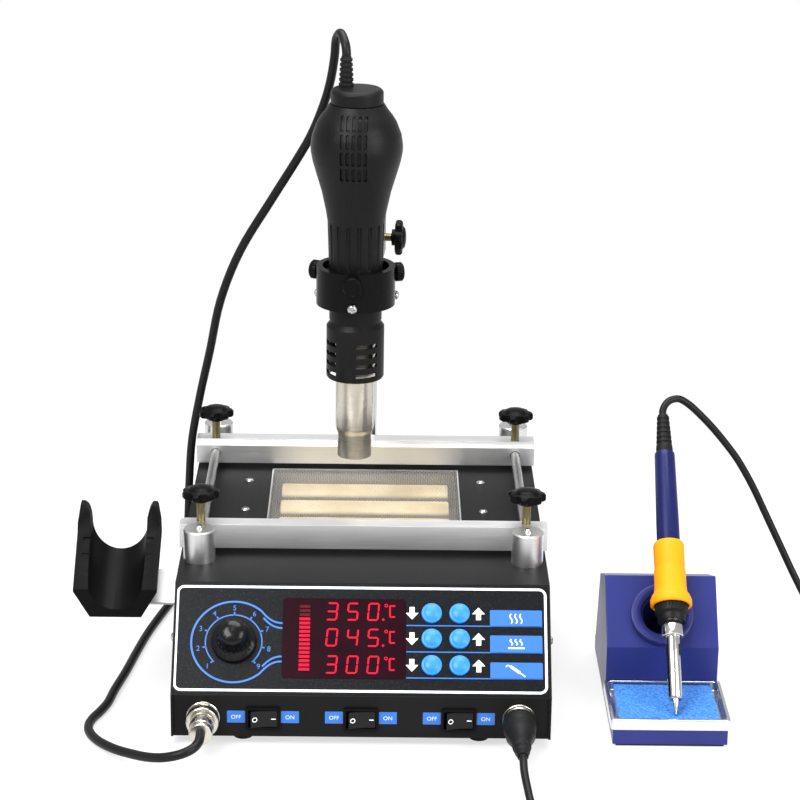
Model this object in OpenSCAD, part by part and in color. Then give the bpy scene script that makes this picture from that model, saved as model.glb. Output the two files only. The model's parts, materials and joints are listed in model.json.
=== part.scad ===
// Board rework station: a hot air gun on a column, a preheating plate, clamp rails and an iron on its stand.
// X runs to the right, Y to the back and Z up. The origin is on the table under the middle of the set.

/* [Casing] */
// width of the casing across its front
body_w = 230; // [215:1:245]
// depth of the casing from front to back
body_d = 310; // [304:1:330]
// height of the rubber feet
foot_h = 6; // [4:0.5:9]
// height of the upright front panel
front_h = 26.8; // [25:0.2:32]
// rise of the sloping control panel
slope_rise = 53.6; // [51:0.2:60]
// run of the sloping control panel from front to back
slope_run = 49.5; // [46:0.5:53]
// thickness of the sheet metal
sheet = 1.5; // [1.2:0.1:1.8]

/* [Preheater] */
// side of the square heating window
window_w = 121; // [115:1:124]
// distance of the window's centre from the front
window_y = 188; // [186:0.5:190]
// opening of one mesh of the guard
mesh_gap = 6.3; // [5.5:0.1:6.8]
// number of ceramic heating strips
strips = 4; // [3:1:4]

/* [Clamp rails] */
// diameter of the corner posts
post_d = 20; // [18:0.5:21]
// height of the corner posts
post_h = 20.7; // [20.5:0.1:24]
// diameter of the guide rods
rod_d = 6; // [5:0.5:6.5]
// length of each clamp rail
rail_l = 232; // [228:1:240]
// depth of each clamp rail
rail_w = 16.6; // [15:0.2:17]
// height of each clamp rail
rail_h = 15.7; // [15:0.1:16]

/* [Column and gun] */
// diameter of the column
column_d = 15; // [13:0.5:15.5]
// height of the column's top above the table
column_top = 310; // [306:1:330]
// distance from the column to the gun's axis
arm_reach = 103.2; // [99:0.2:106]
// swing of the arm to the left
arm_swing = 3.9; // [0:0.1:5]
// outer diameter of the gun ring
ring_d = 51; // [49:0.5:54]
// outer diameter of the air outlet
outlet_d = 22.5; // [20:0.5:23]

/* [Iron stand] */
// width of the stand
stand_w = 70; // [66:1:74]
// distance of the stand's middle from the casing's middle
stand_x = 188; // [184:1:200]
// tilt of the iron above the table
iron_tilt = 44.6; // [44:0.1:46]

/* [Cords] */
// diameter of the gun's cord
gun_cord_d = 5.8; // [5:0.2:6]
// diameter of the iron's cord
iron_cord_d = 4.8; // [4:0.2:5]

/* [Hidden] */
$fn = 64;

// gap between faces that move past each other, and a small cut that runs past a face
gap = 0.3;
cut = 1;

// heights of the casing
z_bend = foot_h + front_h;
z_top = z_bend + slope_rise;
slope_a = atan2(slope_rise, slope_run);
slope_len = norm([slope_rise, slope_run]);
seam_y = slope_run + sheet * tan(slope_a / 2);
side_x = body_w / 2;
side_lip = 1.2;

// control panel: places across the panel and up the slope
overlay_t = 0.4;
overlay_w = body_w - 2 * sheet - 1;
dial_x = -78;
dial_v = slope_len * 0.466;
pot_r = 3;
window_x = -10.9;
window_v = slope_len * 0.506;
lens_w = 75.4;
lens_h = 51.4;
lens_t = 0.8;
lens_rim = 3;
button_xs = [42.4, 59.4];
button_vs = [0.733, 0.508, 0.276] * slope_len;
button_r = 6.3;
button_travel = 1.2;
board_n = 13;
board_t = 1.6;
board_edge = 4.5;
board_x = [-108, button_xs[1] + button_r + 13];

// mains inlet on the back
inlet_x = -70;
inlet_z = z_top * 0.45;
inlet_body = [27.4, 20];

// front row: sockets and rocker switches
front_z = foot_h + front_h * 0.45;
socket_x = 95.4;
socket_z = foot_h + front_h * 0.5;
socket_r = 8;
socket_reach = 9;
rocker_x = 59.2;
bezel = [21, 15];
rocker_hole = [18, 11.4];
rocker_deg = 7;
pivot_n = -3;

// preheater below the window
tray_depth = 24;
tray_t = 1;
tray_in = window_w + 1;
strip_clear = 0.7;
strip_gap = 6.85;
strip_w = (tray_in - 2 * strip_clear - (strips - 1) * strip_gap) / strips;
strip_pitch = strip_w + strip_gap;
strip_h = 9;
strip_foot = 6;
strip_crown = 3.5;
crown_r = (pow(strip_w / 2, 2) + pow(strip_crown, 2)) / (2 * strip_crown);
grille_w = window_w + 6;
grille_t = 0.8;

// posts, rods and rails
post_x = side_x - 12.2;
post_front_y = slope_run + 37;
post_rear_y = body_d - 18.6;
rod_z = z_top + 10.5;
rail_z = z_top + 3.3;
rail_top = rail_z + rail_h;
front_rail_y = post_front_y + post_d / 2 + 0.6;
rear_rail_y = post_rear_y - 36.4;
rear_travel = 4;
ledge_w = 5;
ledge_h = 3;
knob_z = rail_top + 13;
stud_r = 2.5;

// column, arm and ring
column_y = body_d - 20;
base_gap = 1.2;
base_r = column_y - rear_rail_y - rail_w - rear_travel - base_gap;
block_z = 230;
block_h = 26;
block_w = 23;
ring_z = 225.4;
ring_h = 25.2;
ring_r = ring_d / 2;
ring_in = ring_r - 4;
grip_r = 17;
thumb_z = ring_z + ring_h - 6.4;
pin_z = ring_z + 3.2;
pin_out = 1.2;
thumb_turns = [-90, 20, 160];

// gun heights
outlet_tip = 121.1;
outlet_step = 137.5;
guard_z = 175.8;
guard_top = 215;
guard_r = 18.75;
body_z = guard_top;
neck_z = [ring_z + 6, 260];
neck_swell = 0.7;
bulb_z = 329.6;
bulb_r = 29.4;
cap_z = 356.4;
cap_h = 9.8;
cap_r = 16.8;
relief_at = [-7.5, 6.4];
relief_h = 19;

// cradle on the left
cradle_x = -side_x - 38.5;
cradle_y = 60;
cradle_z = 57.5;
cradle_len = 45;
cradle_tilt = 27;
cradle_w = 52;
ear_z = 62;

// iron stand
pad_t = 1.5;
base_top = 11;
stand_front = 3;
stand_back = 148;
hood_y = 62.5;
fold_z = 39.5;
hood_tilt = 42;
hood_len = 47.8;
hood_t = 1.2;
holder_s = 21;
holder_r = 20;
holder_t = 5;
tray_w = stand_w + 3;
tray_y = [2.5, 61.7];
tray_h = 7;
hood_top = [hood_y + hood_len * sin(hood_tilt), fold_z + hood_len * cos(hood_tilt)];
hood_peak = [hood_top[0] + 34, hood_top[1] - 12.5];

// iron along its own axis from the tip
iron_at = [192, 12, 16.9];
barrel_t = 10;
nut_t = 51;
collar_t = 60.5;
flange_t = 71.5;
handle_t = 114.5;
tail_t = 177.5;
tail_len = 27;

// middle of the whole set, where the origin is
set_left = cradle_x - cradle_w / 2;
set_right = stand_x + tray_w / 2;
set_mid = [(set_left + set_right) / 2, (body_d + 2 - socket_reach) / 2];

// cord routes, chosen by eye, in the casing's own frame
gun_plug_len = 27;
iron_plug_len = 52;
cord_joint = 0.05;
gun_route = [
    [-socket_x, -gun_plug_len, socket_z], [-socket_x, -gun_plug_len - 4, socket_z], [-96, -36, 18.8],
    [-99, -42, 17.6], [-106, -45.5, 15.6], [-116, -43.5, 12.5], [-126, -37, 9.5], [-137, -27.5, 7],
    [-148, -17, 5], [-158.5, -4, 3.6], [-165, 8.5, 3], [-167, 19, 3], [-165.5, 29, 3], [-162, 39, 3],
    [-158.5, 52, 3], [-156, 72, 3], [-151.5, 100, 3], [-147.5, 130, 3], [-143, 160, 3], [-137, 190, 3],
    [-131, 218, 3], [-128, 242, 4], [-126.5, 262, 9], [-125.5, 277, 21], [-124.5, 285, 40],
    [-123.5, 286, 66], [-121, 282.5, 97], [-114.5, 276.5, 132], [-107, 270, 166], [-99, 262, 204],
    [-85, 254, 241], [-64, 245, 278], [-47, 238, 307], [-37, 232, 326], [-29, 226, 347], [-24.5, 221, 364],
    [-22, 217.5, 380], [-21, 214.5, 391.5], [-18, 205.5, 397.5], [-15, 196.5, 393]];
gun_route_end = relief_top() + [0, 0, cord_joint];
plug_route = [
    [socket_x, -iron_plug_len, socket_z], [socket_x, -iron_plug_len - 6, socket_z], [95.6, -66, 16.5],
    [97, -76, 11.6], [99, -87, 6.6], [103, -100, 3.2], [112, -116, 2.6], [130, -130, 2.6], [154, -138, 2.6],
    [182, -138, 2.6], [212, -132, 2.6], [244, -120, 2.6], [272, -107, 2.6], [290, -101, 2.6],
    [304, -98, 2.6]];
iron_route_start = iron_point(tail_t + tail_len + cord_joint);
iron_route = [
    iron_point(tail_t + tail_len + 3), [193.6, 162.8, 165.6], [197.2, 165.6, 168.1], [203, 167.3, 168.6],
    [209.4, 167.6, 165], [216.7, 167.8, 158.4], [225.6, 168, 149.2], [235, 168.3, 138], [244, 168, 126],
    [254, 167, 109], [264, 165, 89], [274, 161, 69], [281.5, 156, 54], [288, 150, 42], [295, 142, 29],
    [304, 130, 15], [314, 113, 5.6], [323, 92, 2.6], [331, 66, 2.6], [336, 38, 2.6], [339, 8, 2.6],
    [340, -20, 2.6], [339, -46, 2.6], [336, -67, 2.6]];

// coil of the iron's spare cord, beside the station
coil_at = [310, -72];
coil_mid_r = 26;
coil_w = 10;
coil_h = 9.8;
tie_t = 0.8;
tie_w = 8;

// a point on the iron's axis, a distance from its tip
function iron_point(t) = iron_at + t * [0, cos(iron_tilt), sin(iron_tilt)];

// the top of the gun's strain relief
function relief_top() = let(s = -arm_swing, x = relief_at[0], y = relief_at[1] - arm_reach)
    [x * cos(s) - y * sin(s), column_y + x * sin(s) + y * cos(s), cap_z + cap_h + relief_h];

// the headings of a route and a side vector carried along it without twist
function unit(v) = v / norm(v);
function headings(p) = let(n = len(p)) [for (i = [0:n - 1]) unit(p[min(i + 1, n - 1)] - p[max(i - 1, 0)])];
function carried(u, t) = unit(u - (u * t) * t);
function sides_of(ts, i, u) = i == len(ts) ? [] :
    let(v = carried(u, ts[i])) concat([v], sides_of(ts, i + 1, v));

// frames
module framed() { translate([-set_mid[0], -set_mid[1], 0]) children(); }
module on_slope(x, v, n = 0) {
    translate([x, 0, z_bend]) rotate([slope_a, 0, 0]) translate([0, v, n]) children();
}
module on_front(x, z) { translate([x, 0, z]) rotate([90, 0, 0]) children(); }
module on_rear(x, z) { translate([x, body_d, z]) rotate([90, 0, 180]) children(); }
module on_arm() { translate([0, column_y, 0]) rotate([0, 0, -arm_swing]) children(); }
module on_gun() { on_arm() translate([0, -arm_reach, 0]) children(); }
module on_iron() { translate(iron_at) rotate([iron_tilt - 90, 0, 0]) children(); }
module on_hood(s, n = 0) {
    translate([stand_x, hood_y, fold_z]) rotate([90 - hood_tilt, 0, 0]) translate([0, s, n]) children();
}
module mirror_pair() {
    children();
    mirror([1, 0, 0]) children();
}

// shared shapes
module rounded(w, h, r) {
    square([w - 2 * r, h], center = true);
    square([w, h - 2 * r], center = true);
    for (x = [-1, 1], y = [-1, 1]) translate([x * (w / 2 - r), y * (h / 2 - r)]) circle(r);
}
module slot(w, l) {
    square([w, l - w], center = true);
    for (y = [-1, 1]) translate([0, y * (l - w) / 2]) circle(w / 2);
}
module along_x(w) { rotate([90, 0, 90]) linear_extrude(w, center = true) children(); }
module pan_screw(r = 2.8, h = 1.9) {
    difference() {
        rotate_extrude()
            polygon([[0, 0], [r, 0], [r, h * 0.35], [r * 0.72, h * 0.85], [r * 0.4, h], [0, h]]);
        for (a = [0, 90]) rotate(a) translate([0, 0, h]) cube([r * 1.1, 0.6, h * 0.9], center = true);
    }
}
module star_knob(stud_len) {
    head_r = 12;
    head_h = 6;
    lobes = 7;
    translate([0, 0, -stud_len]) cylinder(r = stud_r, h = stud_len + cut);
    difference() {
        rotate_extrude() polygon([[0, 0], [5.6, 0], [5.6, 2.4], [head_r - 1, 2.4], [head_r, 3.4],
            [head_r, head_h], [head_r - 1.2, head_h + 1.2], [8, head_h + 1.6], [6.4, head_h + 3],
            [3, head_h + 3.7], [0, head_h + 3.8]]);
        for (i = [0:lobes - 1]) rotate((i + 0.5) * 360 / lobes) translate([head_r + 1.5, 0, -cut])
            cylinder(r = 4, h = head_h + 5);
    }
}
module tube(route, d, first) {
    sides = 10;
    ts = headings(route);
    us = sides_of(ts, 0, first);
    n = len(route);
    pts = [for (i = [0:n - 1], k = [0:sides - 1]) let(w = cross(ts[i], us[i]), a = 360 * k / sides)
        route[i] + d / 2 * (cos(a) * us[i] + sin(a) * w)];
    walls = [for (i = [0:n - 2], k = [0:sides - 1]) let(a = i * sides + k, b = i * sides + (k + 1) % sides)
        each [[a, b + sides, b], [a, a + sides, b + sides]]];
    polyhedron(pts, concat([[for (k = [0:sides - 1]) k]], walls,
        [[for (k = [0:sides - 1]) n * sides - 1 - k]]), convexity = 10);
}

// casing
module casing_profile() {
    polygon([[0, foot_h], [0, z_bend], [slope_run, z_top], [body_d, z_top], [body_d, foot_h]]);
}
module casing_hollow() {
    low = foot_h + sheet;
    bend = z_bend + sheet * (sin(slope_a) - 1) / cos(slope_a);
    polygon([[sheet, low], [sheet, bend], [seam_y, z_top - sheet],
        [body_d - sheet, z_top - sheet], [body_d - sheet, low]]);
}
module chassis() {
    color("#18181a") framed() difference() {
        along_x(body_w - 2 * sheet) difference() {
            casing_profile();
            casing_hollow();
            translate([seam_y, z_top - sheet]) square([body_d, sheet + cut]);
        }
        on_slope(window_x, window_v, -3 * sheet) linear_extrude(6 * sheet)
            square([lens_w - 2 * lens_rim, lens_h - 2 * lens_rim], center = true);
        on_slope(dial_x, dial_v, -3 * sheet) cylinder(r = pot_r + 1, h = 6 * sheet);
        for (x = button_xs, v = button_vs) on_slope(x, v, -3 * sheet)
            cylinder(r = button_r + gap, h = 6 * sheet);
        for (x = [-rocker_x, 0, rocker_x]) on_front(x, front_z) linear_extrude(6 * sheet, center = true)
            square([bezel[0] - 2, bezel[1] - 2.2], center = true);
        for (x = [-socket_x, socket_x]) on_front(x, socket_z)
            cylinder(r = socket_r, h = 6 * sheet, center = true);
        on_rear(inlet_x, inlet_z) linear_extrude(6 * sheet, center = true)
            square(inlet_body, center = true);
        for (i = [-5:5]) on_rear(30 + i * 9, z_top * 0.5) linear_extrude(6 * sheet, center = true)
            slot(4, 34);
    }
}
module cover() {
    color("#18181a") framed() difference() {
        union() {
            translate([-side_x + sheet, seam_y, z_top - sheet])
                cube([body_w - 2 * sheet, body_d - seam_y, sheet]);
            mirror_pair() translate([side_x - sheet / 2, 0, 0]) along_x(sheet)
                polygon([[-side_lip, foot_h], [-side_lip, z_bend + 0.5], [slope_run - side_lip, z_top],
                    [body_d, z_top], [body_d, foot_h]]);
        }
        translate([-window_w / 2, window_y - window_w / 2, z_top - 3 * sheet])
            cube([window_w, window_w, 6 * sheet]);
        for (i = [0:8]) translate([0, 150 + i * 14, foot_h + 28]) rotate([90, 0, 90])
            linear_extrude(body_w + 2 * cut, center = true) slot(4, 26);
    }
}
module feet() {
    color("#141414") framed() {
        for (x = [-72, 72], y = [14, body_d - 24]) translate([x, y, 0]) rotate_extrude()
            polygon([[0, 0], [6, 0], [7.5, foot_h], [0, foot_h]]);
        translate([stand_x - stand_w / 2 + 2, stand_front + 1, 0])
            cube([stand_w - 4, stand_back - stand_front - 2, pad_t]);
    }
}
module screws() {
    color("#b9b7b2") framed() {
        mirror_pair() {
            for (p = [[34, 56], [body_d - 20, 68], [body_d - 20, 20], [100, 20]])
                translate([side_x, p[0], p[1]]) rotate([0, 90, 0]) pan_screw();
            for (y = [window_y - 15, window_y + 40]) translate([78.3, y, z_top]) pan_screw();
            for (y = [post_front_y, post_rear_y]) translate([post_x, y, z_top + post_h]) pan_screw();
        }
    }
}

// control panel
module panel_overlay() {
    color("#101014") framed() difference() {
        on_slope(0, slope_len / 2) linear_extrude(overlay_t) rounded(overlay_w, slope_len - 2, 2);
        on_slope(window_x, window_v, -cut) linear_extrude(4) rounded(lens_w, lens_h, 2.5);
        on_slope(dial_x, dial_v, -cut) cylinder(r = pot_r + 1, h = 4);
        for (x = button_xs, v = button_vs) on_slope(x, v, -cut) cylinder(r = button_r + gap, h = 4);
    }
}
module display_window() {
    color("#2a0c14") framed() on_slope(window_x, window_v) linear_extrude(lens_t)
        rounded(lens_w, lens_h, 2.5);
}
module control_board() {
    color("#1d5a33") framed() {
        difference() {
            union() {
                on_slope((board_x[0] + board_x[1]) / 2, slope_len / 2, -board_n) linear_extrude(board_t)
                    square([board_x[1] - board_x[0], slope_len - 22], center = true);
                for (x = [board_x[0] + board_edge, board_x[1] - board_edge], v = [16, slope_len - 16])
                    on_slope(x, v, -board_n) cylinder(r = 3, h = board_n - sheet);
                on_slope(window_x, window_v, -board_n) linear_extrude(board_n)
                    square([lens_w - 2 * lens_rim - 1, lens_h - 2 * lens_rim - 1], center = true);
                for (x = button_xs, v = button_vs) on_slope(x, v, -board_n) linear_extrude(4.6)
                    square(6, center = true);
                on_slope(dial_x, dial_v, -board_n) cylinder(r = 8, h = board_n - sheet);
                on_slope(dial_x, dial_v, -sheet - cut) cylinder(r = pot_r, h = sheet + cut + 12);
            }
            for (x = button_xs, v = button_vs) on_slope(x, v, -board_n + 3.4) cylinder(r = 1.5, h = 4);
        }
    }
}
module air_knob() {
    color("#0c0c0d") framed() on_slope(dial_x, dial_v, overlay_t + gap) difference() {
        rotate_extrude() polygon([[0, 0], [13.6, 0], [13.8, 1.6], [13.2, 3], [10.4, 4.6], [9, 7.5],
            [8.5, 14], [8, 17.6], [6.6, 19], [3.4, 19.8], [0, 20]]);
        translate([0, 0, -cut]) cylinder(r = pot_r + 0.1, h = 12.5 + cut);
        for (i = [0:17]) rotate(i * 20) translate([9.5, 0, 6.5]) cylinder(r = 0.6, h = 9);
    }
}
module button(i) {
    color("#3cb0ff") framed() on_slope(button_xs[i % 2], button_vs[floor(i / 2)]) {
        rotate_extrude() polygon([[0, -6.4], [1.2, -6.4], [1.2, -sheet - 1.2],
            [button_r + 1.2, -sheet - 1.2], [button_r + 1.2, -sheet - 0.1], [button_r, -sheet - 0.1],
            [button_r, 1.6], [button_r - 0.5, 2], [button_r - 1.2, 2], [button_r - 2.4, 2.8],
            [2, 3.3], [0, 3.4]]);
    }
}
module button_1() { button(0); }
module button_2() { button(1); }
module button_3() { button(2); }
module button_4() { button(3); }
module button_5() { button(4); }
module button_6() { button(5); }

// front row
module switch_housings() {
    depth = 12;
    color("#121213") framed() for (x = [-rocker_x, 0, rocker_x]) on_front(x, front_z) difference() {
        union() {
            linear_extrude(1.6) rounded(bezel[0], bezel[1], 1.5);
            translate([0, 0, -depth]) linear_extrude(depth)
                square([bezel[0] - 2, bezel[1] - 2.2], center = true);
        }
        translate([0, 0, -9]) linear_extrude(20) square(rocker_hole, center = true);
        translate([0, 0, pivot_n]) rotate([90, 0, 0])
            cylinder(r = 1.3, h = rocker_hole[1] + 1.4, center = true);
    }
}
module rocker(x) {
    half = rocker_hole[0] / 2 - 0.9;
    color("#161617") framed() on_front(x, front_z) translate([0, 0, pivot_n]) rotate([0, rocker_deg, 0]) {
        rotate([90, 0, 0]) {
            linear_extrude(rocker_hole[1] - 0.8, center = true)
                polygon([[-half, 5.4], [-half * 0.4, 4.7], [0, 4.5], [half * 0.4, 4.7], [half, 5.4],
                    [half - 0.2, 0], [3, -3.4], [-3, -3.4], [-half + 0.2, 0]]);
            cylinder(r = 1, h = rocker_hole[1] + 1, center = true);
        }
    }
}
module rocker_left() { rocker(-rocker_x); }
module rocker_middle() { rocker(0); }
module rocker_right() { rocker(rocker_x); }
module panel_sockets() {
    color("#c9c6be") framed() for (x = [-socket_x, socket_x]) on_front(x, socket_z) difference() {
        union() {
            translate([0, 0, -10]) cylinder(r = socket_r, h = 10 + socket_reach);
            rotate_extrude() polygon([[0, 0], [10.2, 0], [10.2, 2.6], [9.6, 3.2], [0, 3.2]]);
        }
        translate([0, 0, 1]) cylinder(r = socket_r - 1.2, h = socket_reach);
    }
}
module power_inlet() {
    color("#1a1a1b") framed() on_rear(inlet_x, inlet_z) {
        difference() {
            union() {
                linear_extrude(2) rounded(48, 24, 4);
                translate([0, 0, -24]) linear_extrude(24) square(inlet_body, center = true);
            }
            translate([0, 0, -16]) linear_extrude(30) square([24, 16.5], center = true);
        }
        for (p = [[-7, 0], [0, 3], [7, 0]]) translate([p[0], p[1], -9]) cube([2, 4, 14], center = true);
    }
}

// preheater
module heater_tray() {
    outer = tray_in + 2 * tray_t;
    color("#b4b2ac") framed() translate([0, window_y, z_top - sheet]) difference() {
        union() {
            translate([0, 0, -tray_depth]) linear_extrude(tray_depth) square(outer, center = true);
            translate([0, 0, -tray_t]) linear_extrude(tray_t) square(outer + 16, center = true);
        }
        translate([0, 0, tray_t - tray_depth]) linear_extrude(tray_depth) square(tray_in, center = true);
    }
}
module heater_strips() {
    color("#e8dcc0") framed() for (i = [0:strips - 1])
        translate([0, window_y + (i - (strips - 1) / 2) * strip_pitch, z_top - sheet - tray_depth + tray_t])
            along_x(window_w - 8) {
                translate([-2, 0]) square([4, strip_h]);
                translate([-strip_w / 2, strip_foot]) square([strip_w, strip_h]);
                intersection() {
                    translate([0, strip_foot + strip_h + strip_crown - crown_r]) circle(crown_r);
                    translate([-strip_w / 2, strip_foot]) square([strip_w, strip_h + strip_crown]);
                }
            }
}
module heater_grille() {
    count = floor((grille_w - 4) / (mesh_gap + 1.2));
    pitch = mesh_gap + 1.2;
    color("#bdbab2") framed() translate([0, window_y, z_top]) linear_extrude(grille_t) difference() {
        square(grille_w, center = true);
        for (i = [0:count - 1], j = [0:count - 1])
            translate([(i - (count - 1) / 2) * pitch, (j - (count - 1) / 2) * pitch])
                square(mesh_gap, center = true);
    }
}

// clamp rails
module rail_posts() {
    color("#c8c8c6") framed() mirror_pair() for (y = [post_front_y, post_rear_y]) difference() {
        translate([post_x, y, z_top]) rotate_extrude() polygon([[0, 0], [post_d / 2, 0],
            [post_d / 2, post_h - 0.8], [post_d / 2 - 0.8, post_h], [0, post_h]]);
        translate([post_x, y, rod_z]) rotate([y < window_y ? -90 : 90, 0, 0]) translate([0, 0, -2])
            cylinder(d = rod_d, h = post_d);
    }
}
module guide_rods() {
    length = post_rear_y - post_front_y + 4;
    color("#a9a7a3") framed() mirror_pair() translate([post_x, post_front_y - 2, rod_z]) rotate([-90, 0, 0])
        cylinder(d = rod_d, h = length);
}
module clamp_rail(y, ledge_y) {
    difference() {
        translate([-rail_l / 2, y, rail_z]) cube([rail_l, rail_w, rail_h]);
        translate([-rail_l / 2 - cut, ledge_y, rail_top - ledge_h])
            cube([rail_l + 2 * cut, ledge_w, ledge_h + cut]);
        for (x = [-post_x, post_x]) {
            translate([x, y - cut, rod_z]) rotate([-90, 0, 0])
                cylinder(d = rod_d + 2 * gap, h = rail_w + 2 * cut);
            translate([x, y + rail_w / 2, rod_z]) cylinder(r = stud_r + gap, h = rail_h);
        }
    }
}
module front_rail() {
    color("#cfcfcd") framed() clamp_rail(front_rail_y, front_rail_y + rail_w - ledge_w);
}
module rear_rail() { color("#cfcfcd") framed() clamp_rail(rear_rail_y, rear_rail_y); }
module rail_knob(x, y) {
    rod_top = rod_z + rod_d / 2;
    color("#151516") framed() translate([x, y + rail_w / 2, knob_z]) star_knob(knob_z - rod_top - gap);
}
module rail_knob_fl() { rail_knob(-post_x, front_rail_y); }
module rail_knob_fr() { rail_knob(post_x, front_rail_y); }
module rail_knob_rl() { rail_knob(-post_x, rear_rail_y); }
module rail_knob_rr() { rail_knob(post_x, rear_rail_y); }

// column and arm
module column() {
    color("#c4c4c2") framed() translate([0, column_y, z_top]) rotate_extrude() {
        polygon([[0, 0], [base_r, 0], [base_r, 4], [base_r - 2, 6], [column_d / 2 + 3, 7],
            [column_d / 2, 10], [column_d / 2, column_top - z_top - 1.5],
            [column_d / 2 - 1.5, column_top - z_top], [0, column_top - z_top]]);
    }
}
module ring_arm() {
    color("#0d0d0e") framed() difference() {
        union() {
            on_arm() translate([-block_w / 2, -13, block_z]) cube([block_w, 26, block_h]);
            on_arm() translate([-5, -arm_reach + ring_r - 2, block_z + 3])
                cube([10, arm_reach - ring_r - 9, ring_z + ring_h - block_z - 6]);
            on_gun() translate([0, 0, ring_z]) cylinder(r = ring_r, h = ring_h);
        }
        on_gun() translate([0, 0, ring_z - cut]) cylinder(r = ring_in, h = ring_h + 2 * cut);
        on_arm() translate([0, 0, block_z - cut]) cylinder(d = column_d + 0.2, h = block_h + 2 * cut);
        on_arm() translate([-0.8, 0, block_z - cut]) cube([1.6, 20, block_h + 2 * cut]);
        on_arm() translate([0, 0, block_z + block_h / 2 - 1]) rotate([0, 90, 0])
            cylinder(r = stud_r + gap, h = block_w);
        for (a = thumb_turns) on_gun() rotate(a) {
            translate([0, 0, thumb_z]) rotate([0, 90, 0]) cylinder(r = 2 + gap, h = ring_d);
            translate([0, 0, pin_z]) rotate([0, 90, 0]) cylinder(r = 1.5, h = ring_d);
        }
    }
}
module column_knob() {
    reach = block_w / 2 + 5;
    color("#151516") framed() on_arm() translate([reach, 0, block_z + block_h / 2 - 1]) rotate([0, 90, 0])
        star_knob(reach - column_d / 2 - gap);
}
module thumb_screw(a) {
    head = 5.6;
    color("#101011") framed() on_gun() rotate(a) translate([0, 0, thumb_z]) rotate([0, 90, 0]) {
        translate([0, 0, body_radius(thumb_z) + gap])
            cylinder(r = 2, h = ring_r + 2 - body_radius(thumb_z));
        translate([0, 0, ring_r + gap]) difference() {
            rotate_extrude()
                polygon([[0, 0], [5.2, 0], [6.2, 0.8], [6.2, head - 1], [5.2, head], [0, head]]);
            for (i = [0:19]) rotate(i * 18) translate([6.4, 0, -cut])
                cylinder(r = 0.5, h = head + 2 * cut, $fn = 16);
        }
    }
}
module ring_screw_front() { thumb_screw(thumb_turns[0]); }
module ring_screw_right() { thumb_screw(thumb_turns[1]); }
module ring_screw_left() { thumb_screw(thumb_turns[2]); }
module ring_screws() {
    color("#b9b7b2") framed() for (a = thumb_turns) on_gun() rotate(a) translate([0, 0, pin_z])
        rotate([0, 90, 0]) {
            translate([0, 0, grip_r]) cylinder(r = 1.5, h = ring_r + pin_out - grip_r);
            translate([0, 0, ring_r + pin_out - 0.02]) pan_screw(3, 2.2);
        }
}

// hot air gun
function body_radius(z) = grip_r + neck_swell * max(0, z - neck_z[0]) / (neck_z[1] - neck_z[0]);
module body_outline(shrink) {
    s = shrink;
    polygon([[0, body_z], [grip_r - s, body_z], [grip_r - s, neck_z[0]],
        [body_radius(neck_z[1]) - s, neck_z[1]], [grip_r + 1.4 - s, 280], [19.5 - s, 287],
        [22.3 - s, 300], [26.2 - s, 313], [28.2 - s, 320],
        [bulb_r - 0.1 - s, 326], [bulb_r - s, bulb_z], [bulb_r - 0.4 - s, 333], [28.3 - s, 337],
        [25.4 - s, 344.6], [22.9 - s, 348.6], [19.9 - s, 352.4], [cap_r + 0.6 - s, cap_z], [0, cap_z]]);
}
module gun_body() {
    wall = 2;
    vent_z = bulb_z - 13.6;
    vent_pitch = [3.7, 10.6];
    flute_r = 1.3;
    color("#161617") framed() on_gun() difference() {
        rotate_extrude() body_outline(0);
        rotate_extrude() intersection() {
            body_outline(wall);
            translate([0, body_z + 3]) square([40, cap_z - body_z - 5]);
        }
        translate([0, 0, body_z - cut]) cylinder(r = 10, h = 10);
        for (i = [-2:2], j = [0:3]) translate([i * vent_pitch[0], -12, vent_z + j * vent_pitch[1]])
            rotate([90, 0, 0]) linear_extrude(28) slot(2.4, 9);
        for (i = [0:15]) rotate(i * 22.5 + 11.25) translate([grip_r + flute_r, 0, ring_z + ring_h + 1])
            cylinder(r = flute_r, h = 28);
    }
}
module gun_cap() {
    color("#141415") framed() on_gun() translate([0, 0, cap_z]) rotate_extrude()
        polygon([[0, 0], [cap_r, 0], [cap_r, cap_h - 2], [cap_r - 2, cap_h], [0, cap_h]]);
}
module gun_relief() {
    ribs = 6;
    step = relief_h / ribs;
    color("#111112") framed() on_gun() translate([relief_at[0], relief_at[1], cap_z + cap_h])
        rotate_extrude() polygon(concat([[0, 0]], [for (i = [0:ribs - 1], k = [0, 0.55, 0.56, 0.99])
            [4.8 - 0.16 * i - (k > 0.555 ? 0.8 : 0), (i + k) * step]],
            [[gun_cord_d / 2, relief_h], [0, relief_h]]));
}
module gun_heat_guard() {
    wall = 1.5;
    rows = 4;
    color("#141415") framed() on_gun() difference() {
        rotate_extrude() polygon([[12.7, guard_top], [16.4, guard_top], [16.4, guard_top - 1.5],
            [guard_r, guard_top - 4.6], [guard_r, guard_z + 1], [guard_r - 0.6, guard_z],
            [guard_r - wall, guard_z], [guard_r - wall, guard_top - 6.5], [12.7, guard_top - 6.5]]);
        for (g = [0:3], r = [0:rows - 1]) rotate(g * 90 - 84) translate([0, 0, guard_z + 3.4 + r * 6.6])
            rotate_extrude(angle = 47) translate([guard_r - 3, 0]) square([6, 2.7]);
    }
}
module gun_outlet() {
    r = outlet_d / 2;
    color("#b3aea4") framed() on_gun() rotate_extrude() polygon([[r - 0.8, outlet_tip], [r, outlet_tip],
        [r, outlet_step], [12.65, outlet_step + 3], [12.65, guard_top - 7.5], [15, guard_top - 7.5],
        [15, guard_top - 6.5], [11.8, guard_top - 6.5], [11.8, outlet_step + 3.4],
        [r - 0.8, outlet_step + 0.4]]);
}

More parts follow.
